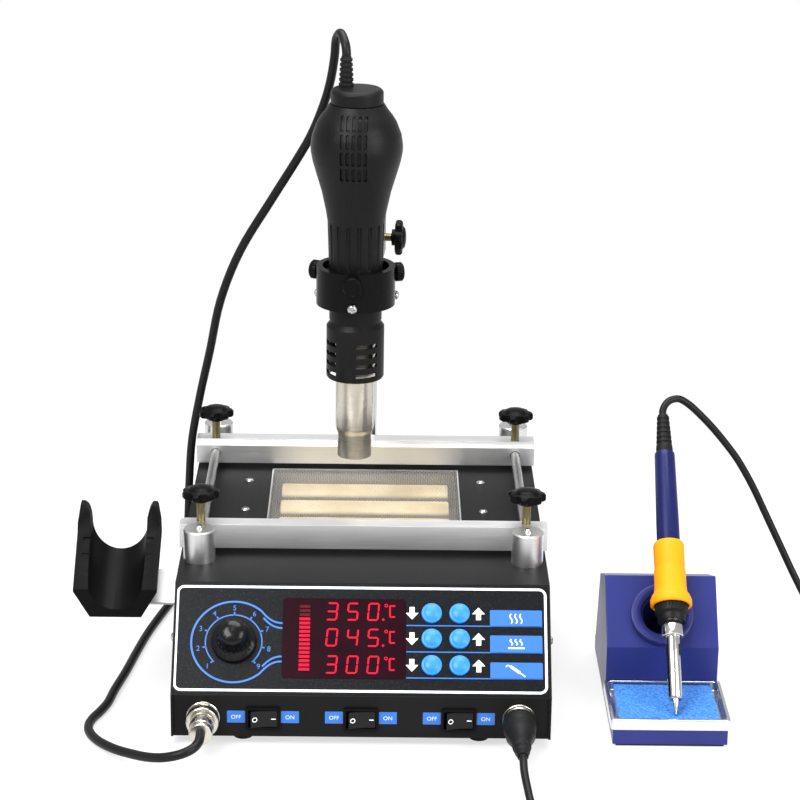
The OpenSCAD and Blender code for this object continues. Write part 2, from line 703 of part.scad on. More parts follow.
// cradle
module cradle_block() {
    half = cradle_w / 2;
    rotate([cradle_tilt, 0, 0]) rotate([90, 0, 0]) translate([0, 0, -90]) linear_extrude(100) difference() {
        polygon([[-16, 0], [16, 0], [half, 15], [half - 1, 60], [-half + 1, 60], [-half, 15]]);
        translate([0, 22]) circle(17.4);
        translate([0, 22]) polygon([[-17.4, 0], [17.4, 0], [19.5, 50], [-19.5, 50]]);
    }
}
module cradle_front() {
    half = cradle_w / 2;
    lean = 2.2;
    tip = half - lean;
    ear = [[half + cut, -cradle_w], [half + cut, ear_z - 18], [half, ear_z - 14], [tip + 0.2, ear_z - 1],
        [tip - 0.6, ear_z + cut], [tip - 1.8, ear_z + cut], [tip - 3.4, ear_z - 1.8], [tip - 5, ear_z - 5],
        [tip - 6, ear_z - 9], [tip - 6.4, ear_z - 14], [tip - 8, ear_z - 18]];
    polygon(concat(ear, [for (i = [len(ear) - 1:-1:0]) [-ear[i][0], ear[i][1]]]));
}
module cradle() {
    rise = cradle_len * tan(cradle_tilt);
    color("#131314") framed() translate([cradle_x, cradle_y, cradle_z]) difference() {
        intersection() {
            cradle_block();
            along_x(cradle_w + 2) polygon([[0, -2], [cradle_len, rise - 4], [cradle_len, 59],
                [cradle_len - 4, ear_z], [cradle_len - 8, ear_z - 2], [cradle_len - 15, 44], [0, 18.5]]);
            rotate([90, 0, 0]) linear_extrude(3 * cradle_len, center = true) cradle_front();
        }
        for (y = [8, 17, 26]) translate([0, y, 21 + y * 0.78]) rotate([cradle_tilt + 14, 0, 0])
            cube([cradle_w - 8, 4, 3], center = true);
    }
}
module cradle_bracket() {
    plate_t = 2;
    plate_y = [12, 40];
    drop = [12, 26];
    reach = -side_x - cradle_x;
    color("#c9c9c4") framed() translate([cradle_x, cradle_y, cradle_z]) rotate([cradle_tilt, 0, 0])
        difference() {
            translate([0, plate_y[1], 0]) rotate([90, 0, 0]) linear_extrude(plate_y[1] - plate_y[0])
                polygon([[-14, -plate_t], [reach - plate_t, -plate_t], [reach - plate_t, -drop[1]],
                    [reach, -drop[1]], [reach, 0], [-14, 0]]);
            translate([reach, 0, 0]) along_x(4 * plate_t)
                polygon([[plate_y[0], -drop[0]], [plate_y[1], -drop[1]], [plate_y[1], -2 * drop[1]],
                    [plate_y[0] - cut, -2 * drop[1]], [plate_y[0] - cut, -drop[0]]]);
        }
}

// plugs and cords
module gun_plug() {
    nut_end = 11;
    neck_end = 15;
    seat = socket_reach + 0.2;
    color("#c4c0b6") framed() on_front(-socket_x, socket_z) rotate_extrude()
        polygon([[socket_r + 0.15, 3.2], [9.4, 3.2], [9.8, 3.8], [9.8, nut_end - 0.6], [9.2, nut_end],
            [6.8, nut_end], [6.8, neck_end], [7.4, neck_end], [7.4, gun_plug_len - 5],
            [7, gun_plug_len - 4.6], [7, gun_plug_len - 0.6], [6.6, gun_plug_len], [0, gun_plug_len],
            [0, seat], [socket_r + 0.15, seat]]);
}
module iron_plug() {
    seat = socket_reach + 0.2;
    color("#0f0f10") framed() on_front(socket_x, socket_z) rotate_extrude()
        polygon([[socket_r + 0.15, 3.2], [9.4, 3.2], [10, 4.4], [10, 14], [9, 17], [9, 24], [8, 27],
            [6.2, 33], [5.6, 40], [4.4, 41], [4.6, 46], [3.6, 47], [3.4, iron_plug_len],
            [0, iron_plug_len], [0, seat], [socket_r + 0.15, seat]]);
}
module gun_cord() {
    route = concat(gun_route, [gun_route_end + [0, 0, 2.5], gun_route_end]);
    color("#0e0e0f") framed() tube(route, gun_cord_d, [0, 0, 1]);
}
module iron_cord() {
    color("#0e0e0f") framed() {
        tube(plug_route, iron_cord_d, [0, 0, 1]);
        tube(concat([iron_route_start], iron_route), iron_cord_d, [1, 0, 0]);
    }
}
module coil_ring() {
    translate([0, 0, tie_t]) rotate_extrude() translate([coil_mid_r - coil_w / 2, 0])
        square([coil_w, coil_h]);
}
module iron_cord_coil() {
    tie_size = [coil_w + 2 * tie_t, tie_w, coil_h + 2 * tie_t];
    color("#0e0e0f") framed() translate([coil_at[0], coil_at[1], 0]) {
        coil_ring();
        difference() {
            translate([-coil_mid_r, 0, tie_size[2] / 2]) cube(tie_size, center = true);
            coil_ring();
        }
    }
}

// iron stand
module stand_frame() {
    half = stand_w / 2;
    color("#373c96") framed() {
        difference() {
            union() {
                translate([stand_x - half, stand_front, pad_t])
                    cube([stand_w, stand_back - stand_front, base_top - pad_t]);
                translate([stand_x, 0, 0]) along_x(stand_w)
                    polygon([[hood_y, base_top - 1], [hood_y, fold_z], hood_top, hood_peak,
                        [stand_back - 2, base_top - 1]]);
            }
            translate([stand_x, 0, 0]) along_x(stand_w - 2 * hood_t) polygon([[hood_y + hood_t, base_top],
                [hood_y + hood_t, fold_z - 0.5], [hood_top[0] + 0.4, hood_top[1] - hood_t * 1.2],
                hood_peak - [0, hood_t], [stand_back + 40, hood_peak[1] - 20],
                [stand_back + 40, base_top]]);
            translate([stand_x - half + hood_t, stand_front + hood_t, pad_t - cut])
                cube([stand_w - 2 * hood_t, stand_back - stand_front - 2 * hood_t,
                    base_top - pad_t - hood_t + cut]);
            on_hood(holder_s, -6) cylinder(r = 15, h = 12);
        }
    }
}
module iron_holder() {
    color("#3f45a6") framed() on_hood(holder_s) rotate_extrude()
        polygon([[13.5, holder_t - 1.6], [13.5, 0.6], [12, 0], [12, -7], [13.6, -7], [15, -3], [15, 0],
            [holder_r, 0], [holder_r, holder_t - 0.8], [holder_r - 0.8, holder_t], [16, holder_t]]);
}
module sponge_tray() {
    length = tray_y[1] - tray_y[0];
    color("#d4d4d0") framed() translate([stand_x, (tray_y[0] + tray_y[1]) / 2, base_top]) difference() {
        linear_extrude(tray_h) rounded(tray_w, length, 3);
        translate([0, 0, 1.2]) linear_extrude(tray_h) rounded(tray_w - 5, length - 5, 2.5);
    }
}
module sponge() {
    length = tray_y[1] - tray_y[0] - 8;
    color("#3f9be0") framed() translate([stand_x, (tray_y[0] + tray_y[1]) / 2, base_top + 1.2])
        linear_extrude(4) rounded(tray_w - 12, length, 1.5);
}

// soldering iron
module iron_tip() {
    color("#d8d8d6") framed() on_iron() rotate_extrude() polygon([[0, 0], [0.5, 0.2], [2.4, barrel_t],
        [2.4, barrel_t + 6], [0, barrel_t + 6]]);
}
module iron_barrel() {
    color("#c7c5bf") framed() on_iron() difference() {
        rotate_extrude() polygon([[2.5, barrel_t], [3.9, barrel_t], [4.4, barrel_t + 2], [4.4, nut_t],
            [6.4, nut_t], [6.8, nut_t + 0.6], [6.8, nut_t + 7], [6, nut_t + 8.2], [6, collar_t],
            [2.5, collar_t]]);
        for (a = [-60, 60, 180]) rotate(a) translate([0, -3, nut_t - 9]) rotate([90, 0, 0])
            linear_extrude(4) slot(2.4, 8);
    }
}
module iron_nut() {
    color("#121213") framed() on_iron() difference() {
        rotate_extrude() polygon([[0, collar_t], [8.4, collar_t], [8.8, collar_t + 0.8],
            [8.8, collar_t + 4.4], [10.4, collar_t + 6], [10.4, flange_t + 3], [0, flange_t + 3]]);
        for (i = [0:27]) rotate(i * 360 / 28) translate([10.7, 0, collar_t + 7])
            cylinder(r = 0.55, h = 12, $fn = 16);
    }
}
module iron_grip() {
    color("#f7a81c") framed() on_iron() rotate_extrude() polygon([[10.7, flange_t], [12.4, flange_t],
        [13, flange_t + 1], [13, flange_t + 4], [11.8, flange_t + 7], [10.4, flange_t + 9],
        [10, flange_t + 14], [10, flange_t + 24], [9.6, flange_t + 25], [9.8, handle_t - 2],
        [9, handle_t], [0, handle_t], [0, flange_t + 3], [10.7, flange_t + 3]]);
}
module iron_handle() {
    color("#26306e") framed() on_iron() rotate_extrude() polygon([[0, handle_t], [7.3, handle_t],
        [7.3, handle_t + 12], [6.5, tail_t - 1], [6, tail_t], [0, tail_t]]);
}
module iron_relief() {
    ribs = 8;
    step = tail_len / ribs;
    color("#141415") framed() on_iron() translate([0, 0, tail_t]) rotate_extrude()
        polygon(concat([[0, 0]], [for (i = [0:ribs - 1], k = [0, 0.55, 0.56, 0.99])
            [5.4 - 0.2 * i - (k > 0.555 && i > 0 ? 0.7 : 0), (i + k) * step]],
            [[iron_cord_d / 2, tail_len], [0, tail_len]]));
}

chassis();
cover();
feet();
screws();
panel_overlay();
display_window();
control_board();
heater_tray();
heater_strips();
heater_grille();
switch_housings();
panel_sockets();
power_inlet();
rail_posts();
guide_rods();
column();
cradle();
cradle_bracket();
gun_plug();
gun_cord();
iron_plug();
iron_cord();
iron_cord_coil();
stand_frame();
iron_holder();
sponge_tray();
sponge();
front_rail();
rear_rail();
rail_knob_fl();
rail_knob_fr();
rail_knob_rl();
rail_knob_rr();
ring_arm();
gun_body();
gun_cap();
gun_heat_guard();
gun_outlet();
gun_relief();
ring_screws();
column_knob();
ring_screw_front();
ring_screw_left();
ring_screw_right();
air_knob();
button_1();
button_2();
button_3();
button_4();
button_5();
button_6();
rocker_left();
rocker_middle();
rocker_right();
iron_tip();
iron_barrel();
iron_nut();
iron_grip();
iron_handle();
iron_relief();
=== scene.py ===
"""Looks of a board rework station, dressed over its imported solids."""

import json
import math

import bmesh
import bpy
from bpy.props import FloatProperty, FloatVectorProperty, PointerProperty, StringProperty
from mathutils import Matrix, Vector, noise

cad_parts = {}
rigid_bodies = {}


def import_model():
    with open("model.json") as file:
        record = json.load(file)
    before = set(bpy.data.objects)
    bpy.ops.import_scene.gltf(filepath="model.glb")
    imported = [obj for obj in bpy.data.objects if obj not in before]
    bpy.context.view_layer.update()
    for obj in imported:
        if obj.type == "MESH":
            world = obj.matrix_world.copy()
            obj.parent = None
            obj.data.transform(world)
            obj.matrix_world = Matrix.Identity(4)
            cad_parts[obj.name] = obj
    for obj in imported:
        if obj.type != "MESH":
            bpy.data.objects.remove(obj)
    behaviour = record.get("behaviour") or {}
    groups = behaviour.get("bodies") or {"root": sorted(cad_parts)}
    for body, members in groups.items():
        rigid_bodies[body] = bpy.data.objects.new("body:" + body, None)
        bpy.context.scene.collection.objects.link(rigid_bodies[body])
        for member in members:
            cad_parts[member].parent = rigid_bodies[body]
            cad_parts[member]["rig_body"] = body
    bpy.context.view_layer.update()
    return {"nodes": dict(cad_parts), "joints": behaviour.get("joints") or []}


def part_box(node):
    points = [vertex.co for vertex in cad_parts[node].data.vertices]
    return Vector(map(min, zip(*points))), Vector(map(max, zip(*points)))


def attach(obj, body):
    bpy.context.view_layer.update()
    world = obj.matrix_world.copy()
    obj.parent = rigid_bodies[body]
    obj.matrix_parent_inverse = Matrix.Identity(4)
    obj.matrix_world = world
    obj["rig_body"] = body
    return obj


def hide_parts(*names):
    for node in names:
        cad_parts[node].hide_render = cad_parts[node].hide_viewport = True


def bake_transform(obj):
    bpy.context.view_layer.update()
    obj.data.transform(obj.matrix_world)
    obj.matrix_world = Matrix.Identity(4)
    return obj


bl_info = {
    "name": "Board Rework Station",
    "version": (1, 0, 0),
    "blender": (4, 5, 0),
    "location": "View3D > Sidebar > Station",
    "description": "Dresses the packed solids of a board rework station",
    "category": "Object",
}

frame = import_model()
MM = 0.001
JOINTS = {joint["name"]: joint for joint in frame["joints"]}
CASING_LOW, CASING_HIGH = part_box("chassis")
# The casing's own corner: middle of its front edge, on the table
CORNER = Vector(((CASING_LOW.x + CASING_HIGH.x) / 2, CASING_LOW.y, 0))


def at(x, y, z):
    """A place in millimetres from the middle of the casing's front edge."""
    return CORNER + Vector((x, y, z)) * MM


def spoke(angle):
    """A flat direction from its angle in degrees."""
    return Vector((math.cos(math.radians(angle)), math.sin(math.radians(angle)), 0))


def axis_place(node, height):
    """The place at a height on the upright axis of a solid's box."""
    low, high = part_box(node)
    return Vector(((low.x + high.x) / 2, (low.y + high.y) / 2, height))


def facing(place, way):
    """The matrix of a place whose Z runs along a direction."""
    return Matrix.Translation(place) @ way.to_track_quat("Z", "Y").to_matrix().to_4x4()


def srgb(red, green, blue):
    """A screen colour of 0 to 255 as a linear colour with alpha."""
    parts = [part / 255 for part in (red, green, blue)]
    return tuple(p / 12.92 if p < 0.04045 else ((p + 0.055) / 1.055) ** 2.4 for p in parts) + (1.0,)


# The sloping panel and the upright front as flat drawing boards: across, up and out
DIAL_PLACE = (-78.0, 34.0)
SLOPE_OUT = Vector(JOINTS["air_knob_turn"]["axis"])
SLOPE_UP = Vector((0, SLOPE_OUT.z, -SLOPE_OUT.y))
DIAL_SHIFT = Vector((DIAL_PLACE[0], 0, 0)) + DIAL_PLACE[1] * SLOPE_UP
SLOPE_ZERO = Vector(JOINTS["air_knob_turn"]["pos_m"]) - DIAL_SHIFT * MM


def board(zero, across, up, out):
    """The matrix of a drawing board from its zero point and its three directions."""
    turn = Matrix((across, up, out)).transposed().to_4x4()
    return Matrix.Translation(zero) @ turn


PANEL = board(SLOPE_ZERO, Vector((1, 0, 0)), SLOPE_UP, SLOPE_OUT)
FRONT = board(CORNER, Vector((1, 0, 0)), Vector((0, 0, 1)), Vector((0, -1, 0)))

# Cord routes in millimetres from the casing's corner, as in the part's source
GUN_ROUTE = [
    (-95.4, -27, 19.4), (-95.4, -31, 19.4), (-96, -36, 18.8), (-99, -42, 17.6), (-106, -45.5, 15.6),
    (-116, -43.5, 12.5), (-126, -37, 9.5), (-137, -27.5, 7), (-148, -17, 5), (-158.5, -4, 3.6),
    (-165, 8.5, 3), (-167, 19, 3), (-165.5, 29, 3), (-162, 39, 3), (-158.5, 52, 3), (-156, 72, 3),
    (-151.5, 100, 3), (-147.5, 130, 3), (-143, 160, 3), (-137, 190, 3), (-131, 218, 3), (-128, 242, 4),
    (-126.5, 262, 9), (-125.5, 277, 21), (-124.5, 285, 40), (-123.5, 286, 66), (-121, 282.5, 97),
    (-114.5, 276.5, 132), (-107, 270, 166), (-99, 262, 204), (-85, 254, 241), (-64, 245, 278),
    (-47, 238, 307), (-37, 232, 326), (-29, 226, 347), (-24.5, 221, 364), (-22, 217.5, 380),
    (-21, 214.5, 391.5), (-18, 205.5, 397.5), (-15, 196.5, 393),
]
PLUG_ROUTE = [
    (95.4, -52, 19.4), (95.4, -58, 19.4), (95.6, -66, 16.5), (97, -76, 11.6), (99, -87, 6.6),
    (103, -100, 3.2), (112, -116, 2.6), (130, -130, 2.6), (154, -138, 2.6), (182, -138, 2.6),
    (212, -132, 2.6), (244, -120, 2.6), (272, -109, 2.8), (289, -103.5, 3.1),
]
IRON_ROUTE = [
    (193.6, 162.8, 165.6), (197.2, 165.6, 168.1), (203, 167.3, 168.6), (209.4, 167.6, 165),
    (216.7, 167.8, 158.4), (225.6, 168, 149.2), (235, 168.3, 138), (244, 168, 126), (254, 167, 109),
    (264, 165, 89), (274, 161, 69), (281.5, 156, 54), (288, 150, 42), (295, 142, 29), (304, 130, 15),
    (314, 113, 5.6), (323, 92, 2.6), (331, 66, 2.6), (336, 38, 2.6), (339, 8, 2.6), (340, -20, 3.2),
    (339.5, -40, 5.6),
]
COIL_MIDDLE = (310, -72)
# The iron from its tip along its axis, turned so that its front faces up and forward
IRON_TILT = math.radians(44.6)
IRON_WAY = Vector((0, math.cos(IRON_TILT), math.sin(IRON_TILT)))
IRON_FRONT = Vector((0, -math.sin(IRON_TILT), math.cos(IRON_TILT)))
IRON_TIP = at(192, 12, 16.9)
# Where the cord leaves the iron, and how far it then runs straight
IRON_LENGTH, CORD_STRAIGHT = 204.55, 2.95


def maths(operation, swapped=False):
    """A method of Wire that adds a Math node."""
    def worked(self, other):
        pair = [other, self] if swapped else [self, other]
        return self.finish.node("ShaderNodeMath", {"operation": operation}, pair)
    return worked


class Wire:
    """A shader socket: sums, products and comparisons on it add Math nodes."""

    __add__ = maths("ADD")
    __radd__ = maths("ADD", True)
    __sub__ = maths("SUBTRACT")
    __rsub__ = maths("SUBTRACT", True)
    __mul__ = maths("MULTIPLY")
    __rmul__ = maths("MULTIPLY", True)
    __gt__ = maths("GREATER_THAN")
    __lt__ = maths("LESS_THAN")

    def __init__(self, finish, socket):
        self.finish = finish
        self.socket = socket


class Finish:
    """A material around one Principled shader, wired with node() and the helpers below it."""

    def __init__(self, name, **constants):
        self.material = bpy.data.materials.new(name)
        self.material.use_nodes = True
        self.tree = self.material.node_tree
        self.shader = self.tree.nodes["Principled BSDF"]
        for socket, value in constants.items():
            self.shader.inputs[socket.replace("_", " ")].default_value = value

    def node(self, kind, settings=None, values=(), output=0):
        """Adds a node: its settings come first, then the values or links of its sockets."""
        made = self.tree.nodes.new(kind)
        for name, value in (settings or {}).items():
            if name == "stops":
                self.set_stops(made.color_ramp, value)
            else:
                setattr(made, name, value)
        pairs = values.items() if isinstance(values, dict) else enumerate(values)
        for key, value in pairs:
            if isinstance(value, Wire):
                self.tree.links.new(value.socket, made.inputs[key])
            else:
                made.inputs[key].default_value = value
        return Wire(self, made.outputs[output])

    @staticmethod
    def set_stops(ramp, stops):
        while len(ramp.elements) < len(stops):
            ramp.elements.new(0.5)
        for element, (place, colour) in zip(ramp.elements, stops):
            element.position = place
            element.color = colour

    def feed(self, socket, wire):
        self.tree.links.new(wire.socket, self.shader.inputs[socket])
        return self

    def spot(self):
        return self.node("ShaderNodeTexCoord", output="Object")

    def stretched(self, scale):
        """Object coordinates scaled per axis, for grain that runs one way."""
        return self.node("ShaderNodeMapping", None, {"Vector": self.spot(), "Scale": scale})

    def noise(self, scale, detail=2.0, where=None):
        values = {"Vector": where or self.spot(), "Scale": scale, "Detail": detail}
        return self.node("ShaderNodeTexNoise", None, values)

    def ramp(self, factor, *stops):
        return self.node("ShaderNodeValToRGB", {"stops": stops}, {"Fac": factor})

    def mix(self, factor, first, second):
        return self.node("ShaderNodeMix", {"data_type": "RGBA"}, {0: factor, 6: first, 7: second}, output=2)

    def rise(self, low, high):
        """0 to 1 between two heights."""
        height = self.node("ShaderNodeSeparateXYZ", None, {"Vector": self.spot()}, "Z")
        return self.node("ShaderNodeMapRange", None, {"Value": height, "From Min": low, "From Max": high})

    def mottle(self, pattern, first, second, spread, roughness):
        """Base colour and roughness that vary with one pattern."""
        self.feed("Base Color", self.mix(pattern, first, second))
        return self.feed("Roughness", pattern * spread + roughness)

    def bump(self, height, strength, depth):
        values = {"Height": height, "Strength": strength, "Distance": depth}
        return self.feed("Normal", self.node("ShaderNodeBump", None, values))


def grey(level, warm=0.0):
    """A linear grey with alpha, a little warm or cool."""
    return (level * (1 + warm), level, level * (1 - warm), 1.0)


def powder_coat(name, colour, light_colour, roughness):
    """Sprayed metal with fine orange peel."""
    finish = Finish(name, Specular_IOR_Level=0.1)
    grain = finish.noise(1500, 3)
    patch = finish.noise(22, 3)
    finish.feed("Base Color", finish.mix(patch, colour, light_colour))
    finish.feed("Roughness", patch * 0.14 + grain * 0.08 + (roughness - 0.11))
    return finish.bump(grain, 0.22, 0.00012).material


def moulded(name, colour, light_colour, roughness, gloss=0.14, grain_scale=2600, depth=0.00006):
    """Moulded plastic with a fine texture and slight handling marks."""
    finish = Finish(name, Specular_IOR_Level=gloss)
    grain = finish.noise(grain_scale, 2)
    marks = finish.noise(60, 4)
    finish.mottle(marks, colour, light_colour, 0.16, roughness - 0.08)
    return finish.bump(grain, 0.35, depth).material


def brushed(name, colour, dark_colour, roughness, scale, depth=0.00003):
    """Bare metal with fine lines that run along the axis with the smallest scale."""
    finish = Finish(name, Metallic=1.0)
    lines = finish.noise(1.0, 3, finish.stretched(scale))
    cloud = finish.noise(30, 3)
    finish.feed("Base Color", finish.mix(lines * 0.7 + cloud * 0.3, dark_colour, colour))
    finish.feed("Roughness", lines * 0.16 + cloud * 0.08 + (roughness - 0.12))
    return finish.bump(lines, 0.25, depth).material


def enamel(name, colour, light_colour, roughness, peel=420, gloss=0.15, coat=0.12):
    """Glossy paint with a soft orange peel."""
    finish = Finish(name, Coat_Weight=coat, Coat_Roughness=0.12, Specular_IOR_Level=gloss)
    skin = finish.noise(peel, 2)
    patch = finish.noise(26, 3)
    finish.mottle(patch, colour, light_colour, 0.1, roughness - 0.05)
    return finish.bump(skin, 0.3, 0.00018).material


def rubbery(name, colour, light_colour, roughness, grain_scale=3200):
    """Soft rubber: dull, with a faint bloom."""
    finish = Finish(name, Specular_IOR_Level=0.14)
    grain = finish.noise(grain_scale, 3)
    bloom = finish.noise(45, 4)
    finish.mottle(bloom, colour, light_colour, 0.14, roughness - 0.07)
    return finish.bump(grain, 0.3, 0.00005).material


def polished(name, colour, dark_colour, roughness):
    """Plated metal with faint wipe marks."""
    finish = Finish(name, Metallic=1.0)
    marks = finish.noise(90, 5)
    return finish.mottle(marks, dark_colour, colour, 0.1, roughness - 0.04).material


def ink(name, colour):
    """Screen print: a flat colour with slightly uneven cover."""
    finish = Finish(name)
    cover = finish.noise(900, 3)
    thin = tuple(part * 0.86 for part in colour[:3]) + (1.0,)
    return finish.mottle(cover, thin, colour, 0.12, 0.34).material


def lit(name, colour, strength):
    """A lit display segment."""
    finish = Finish(name, Roughness=0.5, Specular_IOR_Level=0.1, Emission_Strength=strength)
    glow = finish.noise(500, 2)
    rim = tuple(part * 0.8 for part in colour[:3]) + (1.0,)
    dark = tuple(part * 0.15 for part in colour[:3]) + (1.0,)
    finish.feed("Base Color", finish.mix(glow, dark, rim))
    finish.feed("Emission Color", finish.mix(glow, rim, colour))
    return finish.material


def sparkle_film(name):
    """Black printed film with a fine metallic sparkle."""
    finish = Finish(name, Specular_IOR_Level=0.09)
    cells = {"Vector": finish.spot(), "Scale": 2400.0}
    near = finish.node("ShaderNodeTexVoronoi", None, cells, "Distance")
    pick = finish.node("ShaderNodeTexVoronoi", None, cells, "Color")
    chosen = finish.node("ShaderNodeSeparateColor", None, {"Color": pick}, "Red")
    speck = (near < 0.3) * (chosen > 0.88)
    finish.feed("Base Color", finish.mix(speck, grey(0.0045, -0.2), grey(0.08, -0.15)))
    finish.feed("Roughness", 0.36 - speck * 0.12)
    return finish.bump(finish.noise(1700, 2), 0.15, 0.00005).material


def ceramic(name, edge_height):
    """Cream fired ceramic with faint clouds, with painted shade making it dark grey-brown below its rounded
    top.
    """
    finish = Finish(name, Specular_IOR_Level=0.3)
    cloud = finish.noise(35, 5)
    rise = finish.rise(edge_height - 0.0006, edge_height + 0.0012)
    cream = finish.ramp(cloud, (0.3, srgb(212, 190, 142)), (0.55, srgb(236, 218, 174)),
                        (0.75, srgb(248, 236, 200)))
    # Painted shade: below the rounded top the strips' sides are drawn dark grey-brown.
    finish.feed("Base Color", finish.mix(rise, srgb(70, 62, 52), cream))
    finish.feed("Roughness", cloud * 0.2 + 0.65)
    return finish.bump(finish.noise(700, 3), 0.3, 0.0001).material


def sponge_cells(name):
    """Sky blue sponge with open cells, painted dark blue as shade inside them."""
    finish = Finish(name, Sheen_Weight=0.2, Specular_IOR_Level=0.2)
    holes = finish.node("ShaderNodeTexVoronoi", None, {"Vector": finish.spot(), "Scale": 620.0}, "Distance")
    cloud = finish.noise(700, 6)
    skin = finish.ramp(cloud, (0.28, srgb(14, 66, 140)), (0.48, srgb(30, 104, 186)),
                       (0.7, srgb(52, 134, 210)))
    # Painted shade: the open cells are drawn dark blue.
    painted_pore_shade = (holes < 0.26) * (cloud < 0.47)
    finish.feed("Base Color", finish.mix(painted_pore_shade, skin, srgb(10, 44, 104)))
    finish.feed("Roughness", cloud * 0.1 + 0.85)
    return finish.bump(holes * 0.7 + cloud * 0.6, 0.6, 0.0006).material


def painted_light_nickel(name, tip_height, root_height):
    """Warm brushed nickel, painted lighter towards the tip end as painted light, and darker and warmer
    towards the root.
    """
    finish = Finish(name, Metallic=1.0)
    lines = finish.noise(1.0, 3, finish.stretched((14, 14, 4200)))
    # Painted light: the tip end is drawn lighter than the root.
    painted_light_tint = finish.ramp(finish.rise(tip_height, root_height), (0.0, srgb(232, 226, 212)),
                       (0.5, srgb(232, 228, 218)), (1.0, srgb(212, 204, 190)))
    finish.mottle(lines, painted_light_tint, srgb(192, 185, 172), 0.16, 0.22)
    return finish.bump(lines, 0.08, 0.00002).material


def tinted_window(name):
    """Dark red window over the display."""
    finish = Finish(name, Specular_IOR_Level=0.05)
    cloud = finish.noise(50, 2)
    return finish.mottle(cloud, srgb(25, 5, 13), srgb(33, 9, 18), 0.06, 0.2).material


FINISHES = {
    powder_coat: {
        "casing_black": (grey(0.004), grey(0.0075), 0.45),
        "guard_black": (grey(0.005), grey(0.009), 0.38),
    },
    moulded: {
        "laminate_green": (srgb(20, 78, 44), srgb(30, 96, 56), 0.4),
        "knob_black": (grey(0.002), grey(0.004), 0.3, 0.06),
        "gun_black": (grey(0.003), grey(0.006), 0.42, 0.14, 1500, 0.00012),
        "cradle_black": (grey(0.002), grey(0.004), 0.4, 0.05, 1700, 0.0001),
        "gloss_black": (grey(0.003), grey(0.005), 0.2, 0.22, 3000, 0.00002),
        "nut_black": (grey(0.004), grey(0.008), 0.42),
        "button_blue": (srgb(30, 112, 192), srgb(42, 130, 208), 0.36, 0.35),
        "holder_blue": (srgb(28, 34, 92), srgb(36, 43, 108), 0.4, 0.3),
        "funnel_blue": (srgb(20, 24, 66), srgb(28, 34, 84), 0.5),
        "handle_navy": (srgb(16, 20, 66), srgb(22, 28, 80), 0.3, 0.2),
    },
    rubbery: {
        "foot_rubber": (grey(0.012), grey(0.02), 0.7),
        "relief_rubber": (grey(0.005), grey(0.009), 0.5),
        "cord_rubber": (grey(0.006), grey(0.01), 0.38, 1800),
        "grip_yellow": (srgb(228, 130, 8), srgb(242, 152, 18), 0.45),
    },
    polished: {
        "zinc_plate": (grey(0.62, 0.01), grey(0.45, 0.02), 0.24),
        "mesh_wire": (grey(0.7, 0.02), grey(0.55, 0.03), 0.4),
        "column_chrome": (grey(0.7), grey(0.58), 0.12),
        "nickel": ((0.7, 0.665, 0.6, 1), (0.52, 0.49, 0.43, 1), 0.2),
        "barrel_steel": (grey(0.72, 0.02), grey(0.55, 0.03), 0.16),
        "tip_plate": (grey(0.78), grey(0.6), 0.22),
        "tray_bright": (grey(0.8), grey(0.68), 0.2),
        "brass": ((0.34, 0.29, 0.16, 1), (0.23, 0.19, 0.1, 1), 0.34),
    },
    brushed: {
        "rod_steel": (grey(0.5), grey(0.34), 0.28, (900, 30, 900)),
        "tray_dark": (grey(0.2, 0.03), grey(0.1, 0.04), 0.5, (40, 900, 900)),
        "rail_satin": (grey(0.97), grey(0.8), 0.4, (26, 1400, 1400), 0.00006),
        "post_satin": (grey(0.8), grey(0.62), 0.34, (40, 40, 1600)),
        "bracket_satin": (grey(0.5, 0.01), grey(0.36, 0.02), 0.45, (40, 900, 900)),
    },
    enamel: {
        "ring_black": (grey(0.002), grey(0.004), 0.22, 420, 0.06, 0.05),
        "stand_blue": (srgb(31, 37, 94), srgb(38, 46, 110), 0.36, 300),
    },
    ink: {
        "print_white": (srgb(238, 238, 240),),
        "print_blue": (srgb(24, 98, 184),),
        "print_pale": (srgb(196, 208, 224),),
    },
    lit: {
        "segment_red": (srgb(226, 10, 48), 0.85),
        "segment_dim": (srgb(92, 8, 24), 0.6),
    },
    sparkle_film: {"film_black": ()},
    tinted_window: {"window_red": ()},
    sponge_cells: {"sponge_blue": ()},
    ceramic: {"ceramic_cream": (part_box("heater_strips")[1].z - 3.4 * MM,)},
    painted_light_nickel: {"outlet_nickel": (0.121, 0.172)},
}
MADE = {}


def finish_of(name):
    """The material of that name, made once."""
    if name not in MADE:
        maker = next(kind for kind, rows in FINISHES.items() if name in rows)
        MADE[name] = maker(name, *FINISHES[maker][name])
    return MADE[name]


def linked(name, data):
    """A new object in the scene."""
    made = bpy.data.objects.new(name, data)
    bpy.context.scene.collection.objects.link(made)
    return made


def meshed(curve):
    """A curve or letters as a mesh."""
    holder = linked("holder", curve)
    shape = holder.evaluated_get(bpy.context.evaluated_depsgraph_get())
    mesh = bpy.data.meshes.new_from_object(shape)
    bpy.data.objects.remove(holder)
    return mesh


def settled(bm, name, finish, body, smooth=35.0):
    """Turns a bmesh in row metres into a piece that rides on a body."""
    mesh = bpy.data.meshes.new(name)
    bm.to_mesh(mesh)
    bm.free()
    mesh.polygons.foreach_set("use_smooth", [True] * len(mesh.polygons))
    mesh.set_sharp_from_angle(angle=math.radians(smooth))
    mesh.materials.append(finish_of(finish))
    piece = linked(name, mesh)
    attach(piece, body)
    return piece


